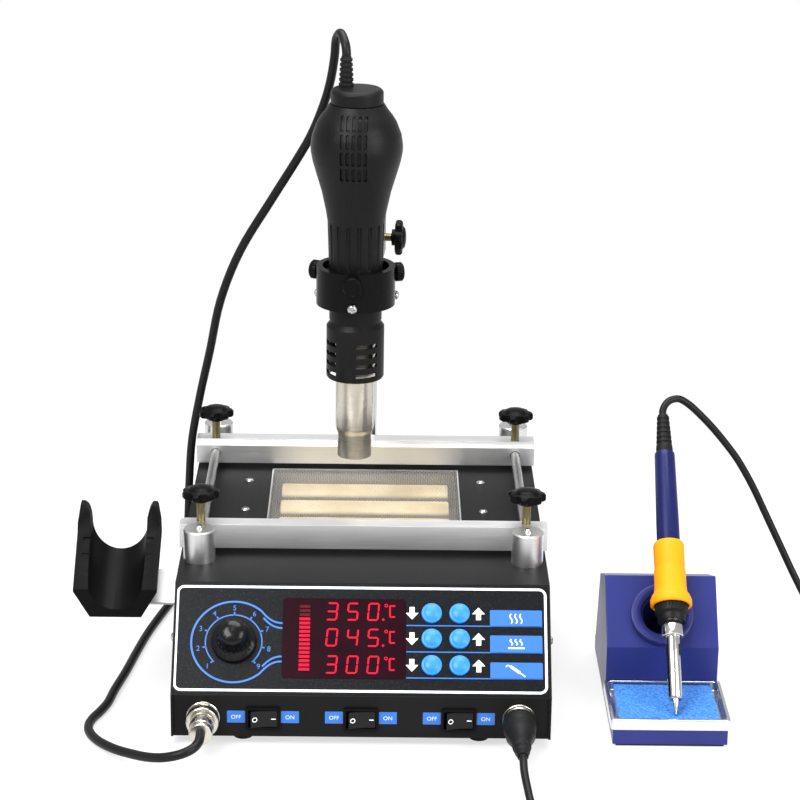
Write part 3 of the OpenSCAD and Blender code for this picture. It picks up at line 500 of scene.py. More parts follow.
def rounded(node, finish, edge=0.4, segments=2):
    """A copy of a solid with merged corners and softly rounded edges, shown in the solid's place."""
    solid = frame["nodes"][node]
    bm = bmesh.new()
    bm.from_mesh(solid.data)
    bmesh.ops.remove_doubles(bm, verts=bm.verts, dist=0.002 * MM)
    bmesh.ops.dissolve_limit(bm, angle_limit=math.radians(0.6), verts=bm.verts, edges=bm.edges)
    piece = settled(bm, f"{node}_shell", finish, solid["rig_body"])
    if edge:
        bevel = piece.modifiers.new("edge", "BEVEL")
        bevel.width = edge * MM
        bevel.segments = segments
        bevel.limit_method = "ANGLE"
        bevel.angle_limit = math.radians(35)
        bevel.harden_normals = True
    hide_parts(node)
    return piece


class Print:
    """Flat print drawn in millimetres on a board, then given a little thickness."""

    def __init__(self, place, lift, thickness=0.1):
        self.bm = bmesh.new()
        self.place = place
        self.lift = lift
        self.thickness = thickness

    def bar(self, x, y, width, height, corner=0.0):
        """A rectangle about its middle, with round corners where asked."""
        shape = Matrix.Translation((x, y, 0)) @ Matrix.Diagonal((width / 2, height / 2, 1, 1))
        made = bmesh.ops.create_grid(self.bm, x_segments=1, y_segments=1, size=1, matrix=shape)
        if corner:
            bmesh.ops.bevel(self.bm, geom=made["verts"], offset=corner, segments=6, profile=0.5,
                            affect="VERTICES", material=-1, clamp_overlap=True)

    def arc(self, x, y, radius, width, start, end, steps=64):
        """A band of a circle between two angles in degrees."""
        reach = (radius - width / 2, radius + width / 2)
        ends = [self.bm.verts.new(Vector((x, y, 0)) + spoke(start) * far) for far in reach]
        edge = self.bm.edges.new(ends)
        bmesh.ops.spin(self.bm, geom=[*ends, edge], cent=(x, y, 0), axis=(0, 0, 1), dvec=(0, 0, 0),
                       angle=math.radians(end - start), steps=steps, use_merge=abs(end - start) >= 360)

    def disc(self, x, y, radius):
        bmesh.ops.create_circle(self.bm, cap_ends=True, segments=40, radius=radius,
                                matrix=Matrix.Translation((x, y, 0)))

    def shape(self, points):
        self.bm.faces.new([self.bm.verts.new((x, y, 0)) for x, y in points])

    def line(self, points, width):
        """A band of even width along points."""
        rows = []
        for i, point in enumerate(points):
            before = Vector(points[max(i - 1, 0)])
            after = Vector(points[min(i + 1, len(points) - 1)])
            side = (after - before).normalized().orthogonal() * width / 2
            rows.append([self.bm.verts.new((*(Vector(point) + turn * side), 0)) for turn in (-1, 1)])
        for low, high in zip(rows, rows[1:]):
            self.bm.faces.new((low[0], low[1], high[1], high[0]))

    def words(self, text, x, y, height):
        """Figures or a switch word, about their middle."""
        letters = bpy.data.curves.new("letters", "FONT")
        letters.body = text
        letters.size = height / 0.73
        letters.align_x = "CENTER"
        flat = meshed(letters)
        flat.transform(Matrix.Translation((x, y - height / 2, 0)))
        self.bm.from_mesh(flat)
        bpy.data.meshes.remove(flat)

    def laid(self, name, finish, body="station"):
        """Lays the print on its board and gives it its thickness."""
        bm = self.bm
        bmesh.ops.remove_doubles(bm, verts=bm.verts, dist=0.005)
        bmesh.ops.recalc_face_normals(bm, faces=bm.faces)
        for face in bm.faces:
            if face.normal.z < 0:
                face.normal_flip()
        raised = bmesh.ops.extrude_face_region(bm, geom=bm.faces[:])
        tops = [part for part in raised["geom"] if isinstance(part, bmesh.types.BMVert)]
        bmesh.ops.translate(bm, vec=(0, 0, self.thickness), verts=tops)
        bmesh.ops.recalc_face_normals(bm, faces=bm.faces)
        moved = self.place @ Matrix.Scale(MM, 4) @ Matrix.Translation((0, 0, self.lift))
        bmesh.ops.transform(bm, matrix=moved, verts=bm.verts)
        return settled(bm, name, finish, body)


def spun(profile, place, steps=48):
    """A bmesh turned from a profile of radius and height in millimetres, placed by a matrix."""
    bm = bmesh.new()
    ring = [bm.verts.new((radius * MM, 0, height * MM)) for radius, height in profile]
    edges = [bm.edges.new(pair) for pair in zip(ring, ring[1:])]
    bmesh.ops.spin(bm, geom=ring + edges, cent=(0, 0, 0), axis=(0, 0, 1), dvec=(0, 0, 0), angle=2 * math.pi,
                   steps=steps, use_merge=True)
    bmesh.ops.remove_doubles(bm, verts=bm.verts, dist=0.003 * MM)
    bmesh.ops.recalc_face_normals(bm, faces=bm.faces)
    bmesh.ops.transform(bm, matrix=place, verts=bm.verts)
    return bm


def smooth_route(points, steps):
    """A smooth curve through a route's points, with a number of steps between each two."""
    line = []
    for i in range(len(points) - 1):
        a, b, c, d = (points[min(max(k, 0), len(points) - 1)] for k in range(i - 1, i + 3))
        for k in range(steps):
            t = k / steps
            line.append(0.5 * (2 * b + (c - a) * t + (2 * a - 5 * b + 4 * c - d) * t * t
                               + (3 * b - a - 3 * c + d) * t * t * t))
    return [*line, points[-1]]


def tube(name, line, diameter, finish):
    """A round tube along a line, as a mesh with no parent."""
    curve = bpy.data.curves.new(name, "CURVE")
    curve.dimensions = "3D"
    curve.bevel_depth = diameter / 2
    curve.bevel_resolution = 5
    curve.use_fill_caps = True
    spline = curve.splines.new("POLY")
    spline.points.add(len(line) - 1)
    for point, place in zip(spline.points, line):
        point.co = (*place, 1)
    mesh = meshed(curve)
    mesh.name = name
    mesh.materials.clear()
    mesh.materials.append(finish_of(finish))
    mesh.polygons.foreach_set("use_smooth", [True] * len(mesh.polygons))
    return linked(name, mesh)


class StageSizes(bpy.types.PropertyGroup):
    """Camera, floor and light of the picture."""

    camera_place: FloatVectorProperty(name="Camera Place", default=(8.0, -1451.0, 707.3), size=3,
                                      description="From the casing's corner, in millimetres")
    camera_tilt: FloatProperty(name="Camera Tilt", description="How far the camera looks down",
                               default=math.radians(18.5), subtype="ANGLE")
    camera_turn: FloatProperty(name="Camera Turn", description="How far the camera stands to the right",
                               default=math.radians(-0.51), subtype="ANGLE")
    camera_roll: FloatProperty(name="Camera Roll", description="Tilt of the picture",
                               default=math.radians(0.78), subtype="ANGLE")
    lens: FloatProperty(name="Lens", description="Focal length on a 36 mm sensor", default=118.65,
                        subtype="DISTANCE_CAMERA")
    key_power: FloatProperty(name="Key Light", description="Power of the main lamp", default=26.0,
                             subtype="POWER")
    fill_power: FloatProperty(name="Fill Light", description="Power of the lamp on the other side",
                              default=14.0, subtype="POWER")
    top_power: FloatProperty(name="Top Light", description="Power of the lamp above", default=20.0,
                             subtype="POWER")


class CordSizes(bpy.types.PropertyGroup):
    """The two cords."""

    gun_diameter: FloatProperty(name="Gun Cord", description="Diameter of the gun's cord",
                                default=0.0058, unit="LENGTH")
    iron_diameter: FloatProperty(name="Iron Cord", description="Diameter of the iron's cord",
                                 default=0.0048, unit="LENGTH")
    coil_outer: FloatProperty(name="Outer Turns", description="Radius of the coil's outer turns",
                              default=0.0285, unit="LENGTH")
    coil_inner: FloatProperty(name="Inner Turns", description="Radius of the coil's inner turns",
                              default=0.0235, unit="LENGTH")
    coil_low: FloatProperty(name="Lower Turns", description="Height of the coil's lower turns",
                            default=0.0033, unit="LENGTH")
    coil_high: FloatProperty(name="Upper Turns", description="Height of the coil's upper turns",
                             default=0.0083, unit="LENGTH")


class PanelSizes(bpy.types.PropertyGroup):
    """The printed panel and its display."""

    frame_line: FloatProperty(name="Frame Line", description="Width of the white frame in millimetres",
                              default=1.5)
    scale_line: FloatProperty(name="Scale Line", description="Width of the blue lines in millimetres",
                              default=1.0)
    digit_height: FloatProperty(name="Digit Height", description="Height of the lit digits in millimetres",
                                default=10.6)
    digit_width: FloatProperty(name="Digit Width", description="Width of the lit digits in millimetres",
                               default=6.0)
    top_row: StringProperty(name="Top Row", description="Digits of the top row", default="350.")
    middle_row: StringProperty(name="Middle Row", description="Digits of the middle row", default="045.")
    bottom_row: StringProperty(name="Bottom Row", description="Digits of the bottom row", default="300")


class StationStage(bpy.types.Operator):
    """Makes the camera, the floor and the lights"""

    bl_idname = "station.stage"
    bl_label = "Stage"

    def execute(self, context):
        sizes = context.scene.station_stage
        self.add_camera(context.scene, sizes)
        self.add_floor()
        self.add_light("key", (-620, -760, 1250), sizes.key_power, 0.9)
        self.add_light("fill", (980, -700, 720), sizes.fill_power, 0.9)
        self.add_light("top", (60, 330, 1300), sizes.top_power, 1.1)
        self.light_world(context.scene)
        context.scene.view_settings.view_transform = "Standard"
        return {"FINISHED"}

    @staticmethod
    def add_camera(scene, sizes):
        tilt, turn, roll = sizes.camera_tilt, sizes.camera_turn, sizes.camera_roll
        back = Vector((math.sin(turn) * math.cos(tilt), -math.cos(turn) * math.cos(tilt), math.sin(tilt)))
        right = (-back).cross(Vector((0, 0, 1))).normalized()
        up = right.cross(-back)
        across = right * math.cos(roll) + up * math.sin(roll)
        upward = up * math.cos(roll) - right * math.sin(roll)
        camera = linked("camera", bpy.data.cameras.new("camera"))
        camera.matrix_world = board(at(*sizes.camera_place), across, upward, back)
        camera.data.sensor_width = 36
        camera.data.lens = sizes.lens
        camera.data.clip_end = 50
        scene.camera = camera

    @staticmethod
    def add_floor():
        finish = Finish("floor_white", Roughness=0.7, Base_Color=grey(0.86))
        seen, mirrored, passed = (finish.node("ShaderNodeLightPath", None, output=f"Is {kind} Ray")
                                  for kind in ("Camera", "Glossy", "Transmission"))
        bright = finish.node("ShaderNodeEmission", None, {"Color": (1, 1, 1, 1), "Strength": 1.0})
        distance = finish.node("ShaderNodeVectorMath", {"operation": "LENGTH"}, [finish.spot()], "Value")
        limits = {"Value": distance, "From Min": 0.2, "From Max": 0.75, "To Min": 0.66, "To Max": 1.0}
        far = finish.node("ShaderNodeMapRange", {"interpolation_type": "SMOOTHSTEP"}, limits)
        share = (seen + mirrored + passed) * far
        mixed = finish.node("ShaderNodeMixShader", None,
                            [share, Wire(finish, finish.shader.outputs[0]), bright])
        finish.tree.links.new(mixed.socket, finish.tree.nodes["Material Output"].inputs["Surface"])
        bm = bmesh.new()
        bmesh.ops.create_grid(bm, x_segments=1, y_segments=1, size=8)
        mesh = bpy.data.meshes.new("floor")
        bm.to_mesh(mesh)
        bm.free()
        mesh.materials.append(finish.material)
        linked("floor", mesh)

    @staticmethod
    def add_light(name, place, power, size):
        light = bpy.data.lights.new(name, "AREA")
        light.shape = "DISK"
        light.size = size
        light.energy = power
        lamp = linked(name, light)
        target = at(20, 130, 120)
        lamp.location = at(*place)
        lamp.rotation_euler = (target - lamp.location).to_track_quat("-Z", "Y").to_euler()

    @staticmethod
    def light_world(scene):
        world = bpy.data.worlds.new("studio")
        world.use_nodes = True
        sky = world.node_tree.nodes["Background"]
        sky.inputs["Color"].default_value = (1, 1, 1, 1)
        sky.inputs["Strength"].default_value = 0.55
        scene.world = world


class StationCords(bpy.types.Operator):
    """Lays the gun's cord and the iron's cord with its coil"""

    bl_idname = "station.cords"
    bl_label = "Cords"

    def execute(self, context):
        sizes = context.scene.station_cords
        self.gun_cord(sizes.gun_diameter)
        self.iron_cord(sizes)
        return {"FINISHED"}

    @staticmethod
    def gun_cord(diameter):
        relief_top = axis_place("gun_relief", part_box("gun_relief")[1].z)
        points = [at(*place) for place in GUN_ROUTE] + [relief_top + Vector((0, 0, 2.5 * MM)), relief_top]
        line = smooth_route(points, 5)
        cord = tube("gun_cord_sheath", line, diameter, "cord_rubber")
        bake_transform(cord)
        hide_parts("gun_cord")

    @staticmethod
    def coil(sizes):
        """Turns of the coil: outer and low first, then inner, up, and out on top."""
        start, end, step = -103.0, 1091.0, 15.0
        count = round((end - start) / step)
        line = []
        for i in range(count + 1):
            angle = start + (end - start) * i / count
            inward = eased(angle, 187, 257) - eased(angle, 747, 827)
            upward = eased(angle, 467, 547)
            radius = sizes.coil_outer + (sizes.coil_inner - sizes.coil_outer) * inward
            height = sizes.coil_low + (sizes.coil_high - sizes.coil_low) * upward
            line.append(at(*COIL_MIDDLE, 0) + spoke(angle) * radius + Vector((0, 0, height)))
        return line

    def iron_cord(self, sizes):
        exit_place = IRON_TIP + IRON_WAY * IRON_LENGTH * MM
        straight = [exit_place + IRON_WAY * CORD_STRAIGHT * MM, exit_place]
        iron_points = [at(*place) for place in reversed(IRON_ROUTE)] + straight
        points = [at(*place) for place in PLUG_ROUTE] + self.coil(sizes) + iron_points
        line = smooth_route(points, 4)
        cord = tube("iron_cord_sheath", line, sizes.iron_diameter, "cord_rubber")
        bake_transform(cord)
        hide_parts("iron_cord", "iron_cord_coil")
        tie = self.coil_tie(sizes)
        ring = self.plug_ring()

    @staticmethod
    def plug_ring():
        """The plated coupling ring of the iron's plug."""
        profile = [(8.2, 3.25), (9.7, 3.25), (10.2, 3.8), (10.2, 6.6), (9.8, 7.2), (8.2, 7.2)]
        place = FRONT @ Matrix.Translation(Vector((95.4, 19.4, 0)) * MM)
        return settled(spun(profile, place), "iron_plug_ring", "nickel", "station")

    @staticmethod
    def coil_tie(sizes):
        """A strap round all the turns, on the left of the coil."""
        middle = (sizes.coil_outer + sizes.coil_inner) / 2
        wide = (sizes.coil_outer - sizes.coil_inner + sizes.iron_diameter) / 2 + 0.5 * MM
        tall = (sizes.coil_high - sizes.coil_low + sizes.iron_diameter) / 2 + 0.45 * MM
        centre = at(*COIL_MIDDLE, 0) + Vector((-middle, 0, (sizes.coil_high + sizes.coil_low) / 2))
        bm = bmesh.new()
        bmesh.ops.create_circle(bm, segments=40, radius=1)
        for vert in bm.verts:
            x, y = (math.copysign(abs(part) ** 0.5, part) for part in vert.co.xy)
            vert.co = Vector((x * wide, 0, y * tall))
        made = bmesh.ops.extrude_edge_only(bm, edges=bm.edges[:])
        verts = [part for part in made["geom"] if isinstance(part, bmesh.types.BMVert)]
        bmesh.ops.translate(bm, vec=(0, 7 * MM, 0), verts=verts)
        bmesh.ops.translate(bm, vec=centre - Vector((0, 3.5 * MM, 0)), verts=bm.verts)
        bmesh.ops.recalc_face_normals(bm, faces=bm.faces)
        bmesh.ops.solidify(bm, geom=bm.faces[:], thickness=0.35 * MM)
        return settled(bm, "coil_tie", "cord_rubber", "station")


def eased(value, low, high):
    """0 before low, 1 after high, smooth between."""
    t = min(max((value - low) / (high - low), 0), 1)
    return t * t * (3 - 2 * t)


class StationCasing(bpy.types.Operator):
    """Dresses the casing, its feet, screws, sockets and plugs"""

    bl_idname = "station.casing"
    bl_label = "Casing"

    def execute(self, context):
        rounded("chassis", "casing_black", 0.9, 3)
        rounded("cover", "casing_black", 0.5)
        rounded("feet", "foot_rubber", 0.5)
        rounded("screws", "zinc_plate", 0.15)
        rounded("power_inlet", "knob_black", 0.4)
        rounded("panel_sockets", "nickel", 0.25)
        rounded("control_board", "laminate_green", 0)
        rounded("gun_plug", "nickel", 0.25)
        rounded("iron_plug", "relief_rubber", 0.5)
        return {"FINISHED"}


class StationPreheater(bpy.types.Operator):
    """Dresses the preheating plate and weaves its guard mesh"""

    bl_idname = "station.preheater"
    bl_label = "Preheater"

    wire_pitch: FloatProperty(name="Wire Pitch", description="Distance between wires in millimetres",
                              default=1.75)
    wire_width: FloatProperty(name="Wire", description="Diameter of a wire in millimetres", default=0.25)

    def execute(self, context):
        rounded("heater_tray", "tray_dark", 0.2)
        rounded("heater_strips", "ceramic_cream", 1.2, 3)
        low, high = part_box("heater_grille")
        self.weave(low, high)
        return {"FINISHED"}

    def weave(self, low, high):
        """Slanting wires in two layers, with a narrow rim round them."""
        bm = bmesh.new()
        middle = (low + high) / 2
        half = (high.x - low.x) / 2
        rim = 0.9 * MM
        pitch = self.wire_pitch * MM
        reach = (half - rim / 2) * math.sqrt(2)
        count = int(reach / pitch)
        layers = ((math.pi / 4, 0.3), (-math.pi / 4, 0.58))
        for i in range(-count, count + 1):
            for slant, height in layers:
                turn = Matrix.Rotation(slant, 4, "Z")
                place = Matrix.Translation((middle.x, middle.y, low.z + height * MM)) @ turn
                lying = Matrix.Translation((0, i * pitch, 0)) @ Matrix.Rotation(math.pi / 2, 4, "Y")
                bmesh.ops.create_cone(bm, cap_ends=True, segments=6, radius1=self.wire_width * MM / 2,
                                      radius2=self.wire_width * MM / 2, depth=2 * (reach - abs(i) * pitch),
                                      matrix=place @ lying)
        for x, y in ((1, 0), (-1, 0), (0, 1), (0, -1)):
            size = (rim if x else 2 * half, 2 * half if x else rim, 0.7 * MM)
            place = middle + Vector((x, y, 0)) * (half - rim / 2)
            place.z = low.z + 0.36 * MM
            bmesh.ops.create_cube(bm, size=1, matrix=Matrix.Translation(place) @ Matrix.Diagonal((*size, 1)))
        mesh = settled(bm, "guard_mesh", "mesh_wire", "station")
        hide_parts("heater_grille")


class StationRails(bpy.types.Operator):
    """Dresses the clamp rails, their posts, rods and knobs"""

    bl_idname = "station.rails"
    bl_label = "Clamp Rails"

    def execute(self, context):
        rounded("front_rail", "rail_satin", 0.5)
        rounded("rear_rail", "rail_satin", 0.5)
        rounded("rail_posts", "post_satin", 0.3)
        rounded("guide_rods", "rod_steel", 0)
        for corner in ("fl", "fr", "rl", "rr"):
            node = f"rail_knob_{corner}"
            rounded(node, "knob_black", 0.7, 3)
            pivot = Vector(JOINTS[f"{node}_turn"]["pos_m"])
            stud(f"rail_stud_{corner}", Matrix.Translation(pivot), 13.2, node)
        return {"FINISHED"}


def stud(name, place, length, body):
    """A brass thread that hangs below its place."""
    pitch, core = 0.8, 2.55
    turns = int(length / pitch)
    profile = [(core - 0.45, 0)]
    for i in range(turns):
        for step, radius in ((0.25, core), (0.5, core + 0.25), (0.75, core)):
            profile.append((radius, -(i + step) * pitch))
    profile += [(core, -length), (core - 0.45, -length)]
    return settled(spun(profile, place, 32), name, "brass", body)


class StationColumn(bpy.types.Operator):
    """Dresses the column, the ring arm and the hot air gun"""

    bl_idname = "station.column"
    bl_label = "Column and Gun"

    @staticmethod
    def outlet():
        """The turned air outlet with its step and the flange inside the guard."""
        low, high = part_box("gun_outlet")
        foot = axis_place("gun_outlet", low.z)
        top = (high.z - low.z) / MM
        profile = [(10.45, 0), (11.0, 0), (11.25, 0.3), (11.25, 16.1), (11.45, 16.7), (12.45, 19.0),
                   (12.65, 19.7), (12.65, top - 1), (15, top - 1), (15, top), (11.85, top), (11.85, 20),
                   (10.45, 16.8), (10.45, 0)]
        turned = spun(profile, Matrix.Translation(foot), 96)
        piece = settled(turned, "air_outlet", "outlet_nickel", "carriage")
        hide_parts("gun_outlet")

    @staticmethod
    def vent_floor():
        """A sleeve inside the gun's wall, seen through its vents."""
        foot = axis_place("gun_outlet", 0)
        outline = {}
        for vert in frame["nodes"]["gun_body"].data.vertices:
            level = round(vert.co.z / MM)
            outline[level] = max(outline.get(level, 0), (vert.co - foot).xy.length / MM)
        lowest, highest, least_radius, depth, thickness = 296, 353, 19, 1.4, 0.4
        levels = sorted(z for z in outline if lowest <= z <= highest and outline[z] > least_radius)
        sleeve = [(outline[level] - depth, level) for level in levels]
        inner = [(radius - thickness, level) for radius, level in reversed(sleeve)]
        bm = spun([*sleeve, *inner, sleeve[0]], Matrix.Translation(foot), 64)
        settled(bm, "vent_sleeve", "gun_black", "carriage")

    @staticmethod
    def side_stud(node, joint, outer, length):
        """A brass thread between a knob and the block it clamps."""
        way = Vector(joint["axis"])
        stud(f"{node}_stud", facing(Vector(joint["pos_m"]) + way * outer * MM, way), length, node)

    def execute(self, context):
        rounded("column", "column_chrome", 0.3)
        rounded("ring_arm", "ring_black", 0.8, 3)
        rounded("column_knob", "knob_black", 0.7, 3)
        self.side_stud("column_knob", JOINTS["column_knob_turn"], 16.4, 4.8)
        for side in ("front", "left", "right"):
            rounded(f"ring_screw_{side}", "knob_black", 0.25)
        rounded("ring_screws", "zinc_plate", 0.15)
        rounded("gun_body", "gun_black", 0.35)
        self.vent_floor()
        rounded("gun_cap", "gun_black", 0.8, 3)
        rounded("gun_heat_guard", "guard_black", 0.3)
        self.outlet()
        rounded("gun_relief", "relief_rubber", 0.3)
        rounded("cradle", "cradle_black", 1.2, 3)
        rounded("cradle_bracket", "bracket_satin", 0.4)
        return {"FINISHED"}


class StationIron(bpy.types.Operator):
    """Dresses the iron and its stand"""

    bl_idname = "station.iron"
    bl_label = "Iron and Stand"

    def execute(self, context):
        rounded("stand_frame", "stand_blue", 0.8, 3)
        rounded("iron_holder", "holder_blue", 0.6, 3)
        rounded("sponge_tray", "tray_bright", 0.6, 3)
        rounded("iron_tip", "tip_plate", 0)
        self.barrel()
        rounded("iron_nut", "nut_black", 0.2)
        rounded("iron_grip", "grip_yellow", 0.5, 3)
        rounded("iron_handle", "handle_navy", 0.4)
        rounded("iron_relief", "relief_rubber", 0.3)
        self.sponge()
        self.funnel()
        return {"FINISHED"}

    @staticmethod
    def barrel():
        """The plated barrel with its nut, and its three slots drawn as dark pieces of painted shade."""
        profile = [(2.5, 10), (3.7, 10), (3.95, 10.3), (4.4, 12), (4.4, 50.8), (4.6, 51), (6.4, 51),
                   (6.8, 51.4), (6.8, 58), (6.1, 59.1), (6, 60.5), (2.5, 60.5), (2.5, 10)]
        turned = spun(profile, board(IRON_TIP, Vector((1, 0, 0)), -IRON_FRONT, IRON_WAY), 64)
        piece = settled(turned, "plated_barrel", "barrel_steel", "iron")
        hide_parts("iron_barrel")
        # Painted shade: each open slot is a thin dark piece laid on the barrel's surface.
        slot_place, slot_face, slot_depth = IRON_TIP + IRON_WAY * 42 * MM, 4.15, 0.3
        for angle in (-60, 60, 180):
            out = Matrix.Rotation(math.radians(angle), 3, IRON_WAY) @ IRON_FRONT
            slot = Print(board(slot_place, IRON_WAY.cross(out), IRON_WAY, out), slot_face, slot_depth)
            slot.bar(0, 0, 2.4, 8, 1.19)
            slot.laid(f"barrel_slot_shade_{angle % 360}", "nut_black", "iron")

    @staticmethod
    def funnel():
        """The liner that narrows behind the holder ring."""
        low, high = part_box("iron_holder")
        tilt = math.radians(48)
        out = Vector((0, -math.sin(tilt), math.cos(tilt)))
        place = facing((low + high) / 2 + out * MM, out)
        profile = [(12.1, -6.4), (11.4, -11), (8.6, -30), (5.4, -58), (4.8, -58), (8.0, -30), (10.8, -11),
                   (11.6, -6.4)]
        turned = spun([*profile, profile[0]], place)
        settled(turned, "holder_funnel", "funnel_blue", "station")

    @staticmethod
    def sponge():
        """A sponge with a ragged, pitted skin."""
        low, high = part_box("sponge")
        size = high - low
        bm = bmesh.new()
        bmesh.ops.create_cube(bm, size=1)
        bmesh.ops.transform(bm, matrix=Matrix.Diagonal((*size, 1)), verts=bm.verts)
        bmesh.ops.subdivide_edges(bm, edges=bm.edges[:], cuts=40, use_grid_fill=True)
        bmesh.ops.translate(bm, vec=(low + high) / 2, verts=bm.verts)
        for vert in bm.verts:
            rough = noise.noise(vert.co * 260) * 0.5 + noise.noise(vert.co * 700) * 0.35
            if vert.co.z > low.z + 0.5 * MM:
                vert.co.z += rough * 0.7 * MM
            vert.co.x += noise.noise(vert.co * 330 + Vector((7, 0, 0))) * 0.5 * MM
            vert.co.y += noise.noise(vert.co * 330 + Vector((0, 9, 0))) * 0.5 * MM
        bmesh.ops.smooth_vert(bm, verts=bm.verts, factor=0.3, use_axis_x=True, use_axis_y=True,
                              use_axis_z=True)
        piece = settled(bm, "sponge_pad", "sponge_blue", "station", 80)
        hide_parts("sponge")


class StationPanel(bpy.types.Operator):
    """Dresses the control panel: film, print, display, knob, buttons and switches"""

    bl_idname = "station.panel"
    bl_label = "Control Panel"

    film_face = 0.4
    window_face = 0.8

    def execute(self, context):
        sizes = context.scene.station_panel
        rounded("panel_overlay", "film_black", 0)
        rounded("display_window", "window_red", 0.25)
        rounded("air_knob", "gloss_black", 0.3)
        rounded("switch_housings", "knob_black", 0.4)
        for side in ("left", "middle", "right"):
            rounded(f"rocker_{side}", "gloss_black", 0.35)
        for i in range(6):
            rounded(f"button_{i + 1}", "button_blue", 0.3)
        self.white_print(sizes)
        self.blue_print(sizes)
        self.display(sizes)
        self.tab_icons()
        self.switch_tags()
        self.rocker_marks()
        return {"FINISHED"}

    def white_print(self, sizes):
        white = Print(PANEL, self.film_face)
        left, right, low, high, corner = -113, 112, 3.3, 69.5, 4
        middle_x, middle_y = (left + right) / 2, (low + high) / 2
        wide, tall = right - left - 2 * corner, high - low - 2 * corner
        line = sizes.frame_line
        for side in (-1, 1):
            white.bar(middle_x, middle_y + side * (tall / 2 + corner), wide, line)
            white.bar(middle_x + side * (wide / 2 + corner), middle_y, line, tall)
            for level in (-1, 1):
                start = {(1, 1): 0, (-1, 1): 90, (-1, -1): 180, (1, -1): 270}[(side, level)]
                white.arc(middle_x + side * wide / 2, middle_y + level * tall / 2, corner, line, start,
                          start + 90, 12)
        for row in (53.5, 37.1, 20.1):
            self.arrow(white, 30.4, row, -1)
            self.arrow(white, 71.0, row, 1)
        white.laid("panel_print_white", "print_white")

    @staticmethod
    def arrow(sheet, x, y, way):
        """A block arrow up or down."""
        points = [(-1.5, -4), (1.5, -4), (1.5, -0.2), (3.9, -0.2), (0, 4), (-3.9, -0.2), (-1.5, -0.2)]
        sheet.shape([(x + way * px, y + way * py) for px, py in points])

    def blue_print(self, sizes):
        blue = Print(PANEL, self.film_face)
        x, y = DIAL_PLACE
        line = sizes.scale_line
        blue.arc(x, y, 25.8, line * 1.2, 50, 310, 96)
        blue.arc(x, y, 17.2, line * 0.8, -48, 228, 80)
        for i in range(9):
            way = spoke(225 - i * 33.75).xy
            blue.line([Vector((x, y)) + way * radius for radius in (16.8, 19.2)], line * 0.9)
            spot = Vector((x, y)) + way * 21.9
            blue.words(str(i + 1), spot.x, spot.y, 3.4)
        for way in (-1, 1):
            for reach, height in ((0, 12.3), (1, 9.1)):
                self.wave(blue, x, y, way, reach, height, line)
        for low, high in ((45.2, 56.0), (28.3, 39.7), (11.7, 22.4)):
            blue.bar(93.9, (low + high) / 2, 31.8, high - low, 0.8)
            blue.bar(68.4, low + 0.35, 82.8, 0.7)
        blue.laid("panel_print_blue", "print_blue")

    @staticmethod
    def wave(sheet, x, y, way, reach, height, line):
        """An S-shaped line from the dial's ring to the display."""
        start = Vector((x + 25.8 * math.cos(math.radians(50)), 25.8 * math.sin(math.radians(50))))
        if reach:
            start += Vector((1.2, -4.2))
        end = Vector((-48.6, height))
        steps = 14
        points = []
        for i in range(steps + 1):
            t = i / steps
            fall = start.y + (end.y - start.y) * (1 - (1 - t) ** 2.2)
            points.append((start.x + (end.x - start.x) * t, y + way * fall))
        sheet.line(points, line * 1.1)

    def display(self, sizes):
        bars = Print(PANEL, self.window_face, 0.08)
        dim = Print(PANEL, self.window_face, 0.08)
        low, high, count, lit_count = 15.5, 58.4, 16, 13
        pitch = (high - low) / count
        first_x, digit_step = -18.4, 12.6
        for i in range(count):
            (bars if i < lit_count else dim).bar(-35.0, low + (i + 0.5) * pitch, 6.4, pitch * 0.62)
        for row, text in ((54.0, sizes.top_row), (37.3, sizes.middle_row), (20.0, sizes.bottom_row)):
            x = first_x
            for figure in text:
                if figure == ".":
                    bars.disc(x - 6.6, row - sizes.digit_height / 2 + 0.3, 0.75)
                    continue
                self.digit(bars, figure, x, row, sizes.digit_width, sizes.digit_height)
                x += digit_step
            bars.arc(14.6, row + 4.1, 0.85, 0.5, 0, 360, 16)
            self.degree_mark(bars, 18.4, row)
        bars.laid("display_segments", "segment_red")
        dim.laid("display_segments_dim", "segment_dim")

    @staticmethod
    def digit(sheet, figure, x, y, width, height):
        """One seven-segment figure, leaning a little."""
        lit_parts = {"0": "abcdef", "3": "abgcd", "4": "fgbc", "5": "afgcd"}[figure]
        bar = 1.05
        w, h = width / 2, height / 2
        lines = {"a": ((-w, h), (w, h)), "b": ((w, h), (w, 0)), "c": ((w, 0), (w, -h)),
                 "d": ((-w, -h), (w, -h)), "e": ((-w, 0), (-w, -h)), "f": ((-w, h), (-w, 0)),
                 "g": ((-w, 0), (w, 0))}
        lean = 0.09
        for part in lit_parts:
            a, b = (Vector(end) for end in lines[part])
            run = (b - a).normalized()
            side = run.orthogonal() * bar / 2
            a, b = a + run * bar * 0.62, b - run * bar * 0.62
            points = [a - run * bar / 2, a - side, b - side, b + run * bar / 2, b + side, a + side]
            sheet.shape([(x + p.x + lean * p.y, y + p.y) for p in points])

    @staticmethod
    def degree_mark(sheet, x, y):
        """A lit C beside the digits."""
        for dx, dy, w, h in ((0, 3.9, 3.2, 1.0), (-1.5, 0.4, 1.0, 7.0), (0, -3.2, 3.2, 1.0)):
            sheet.bar(x + dx, y + dy, w, h, 0.2)

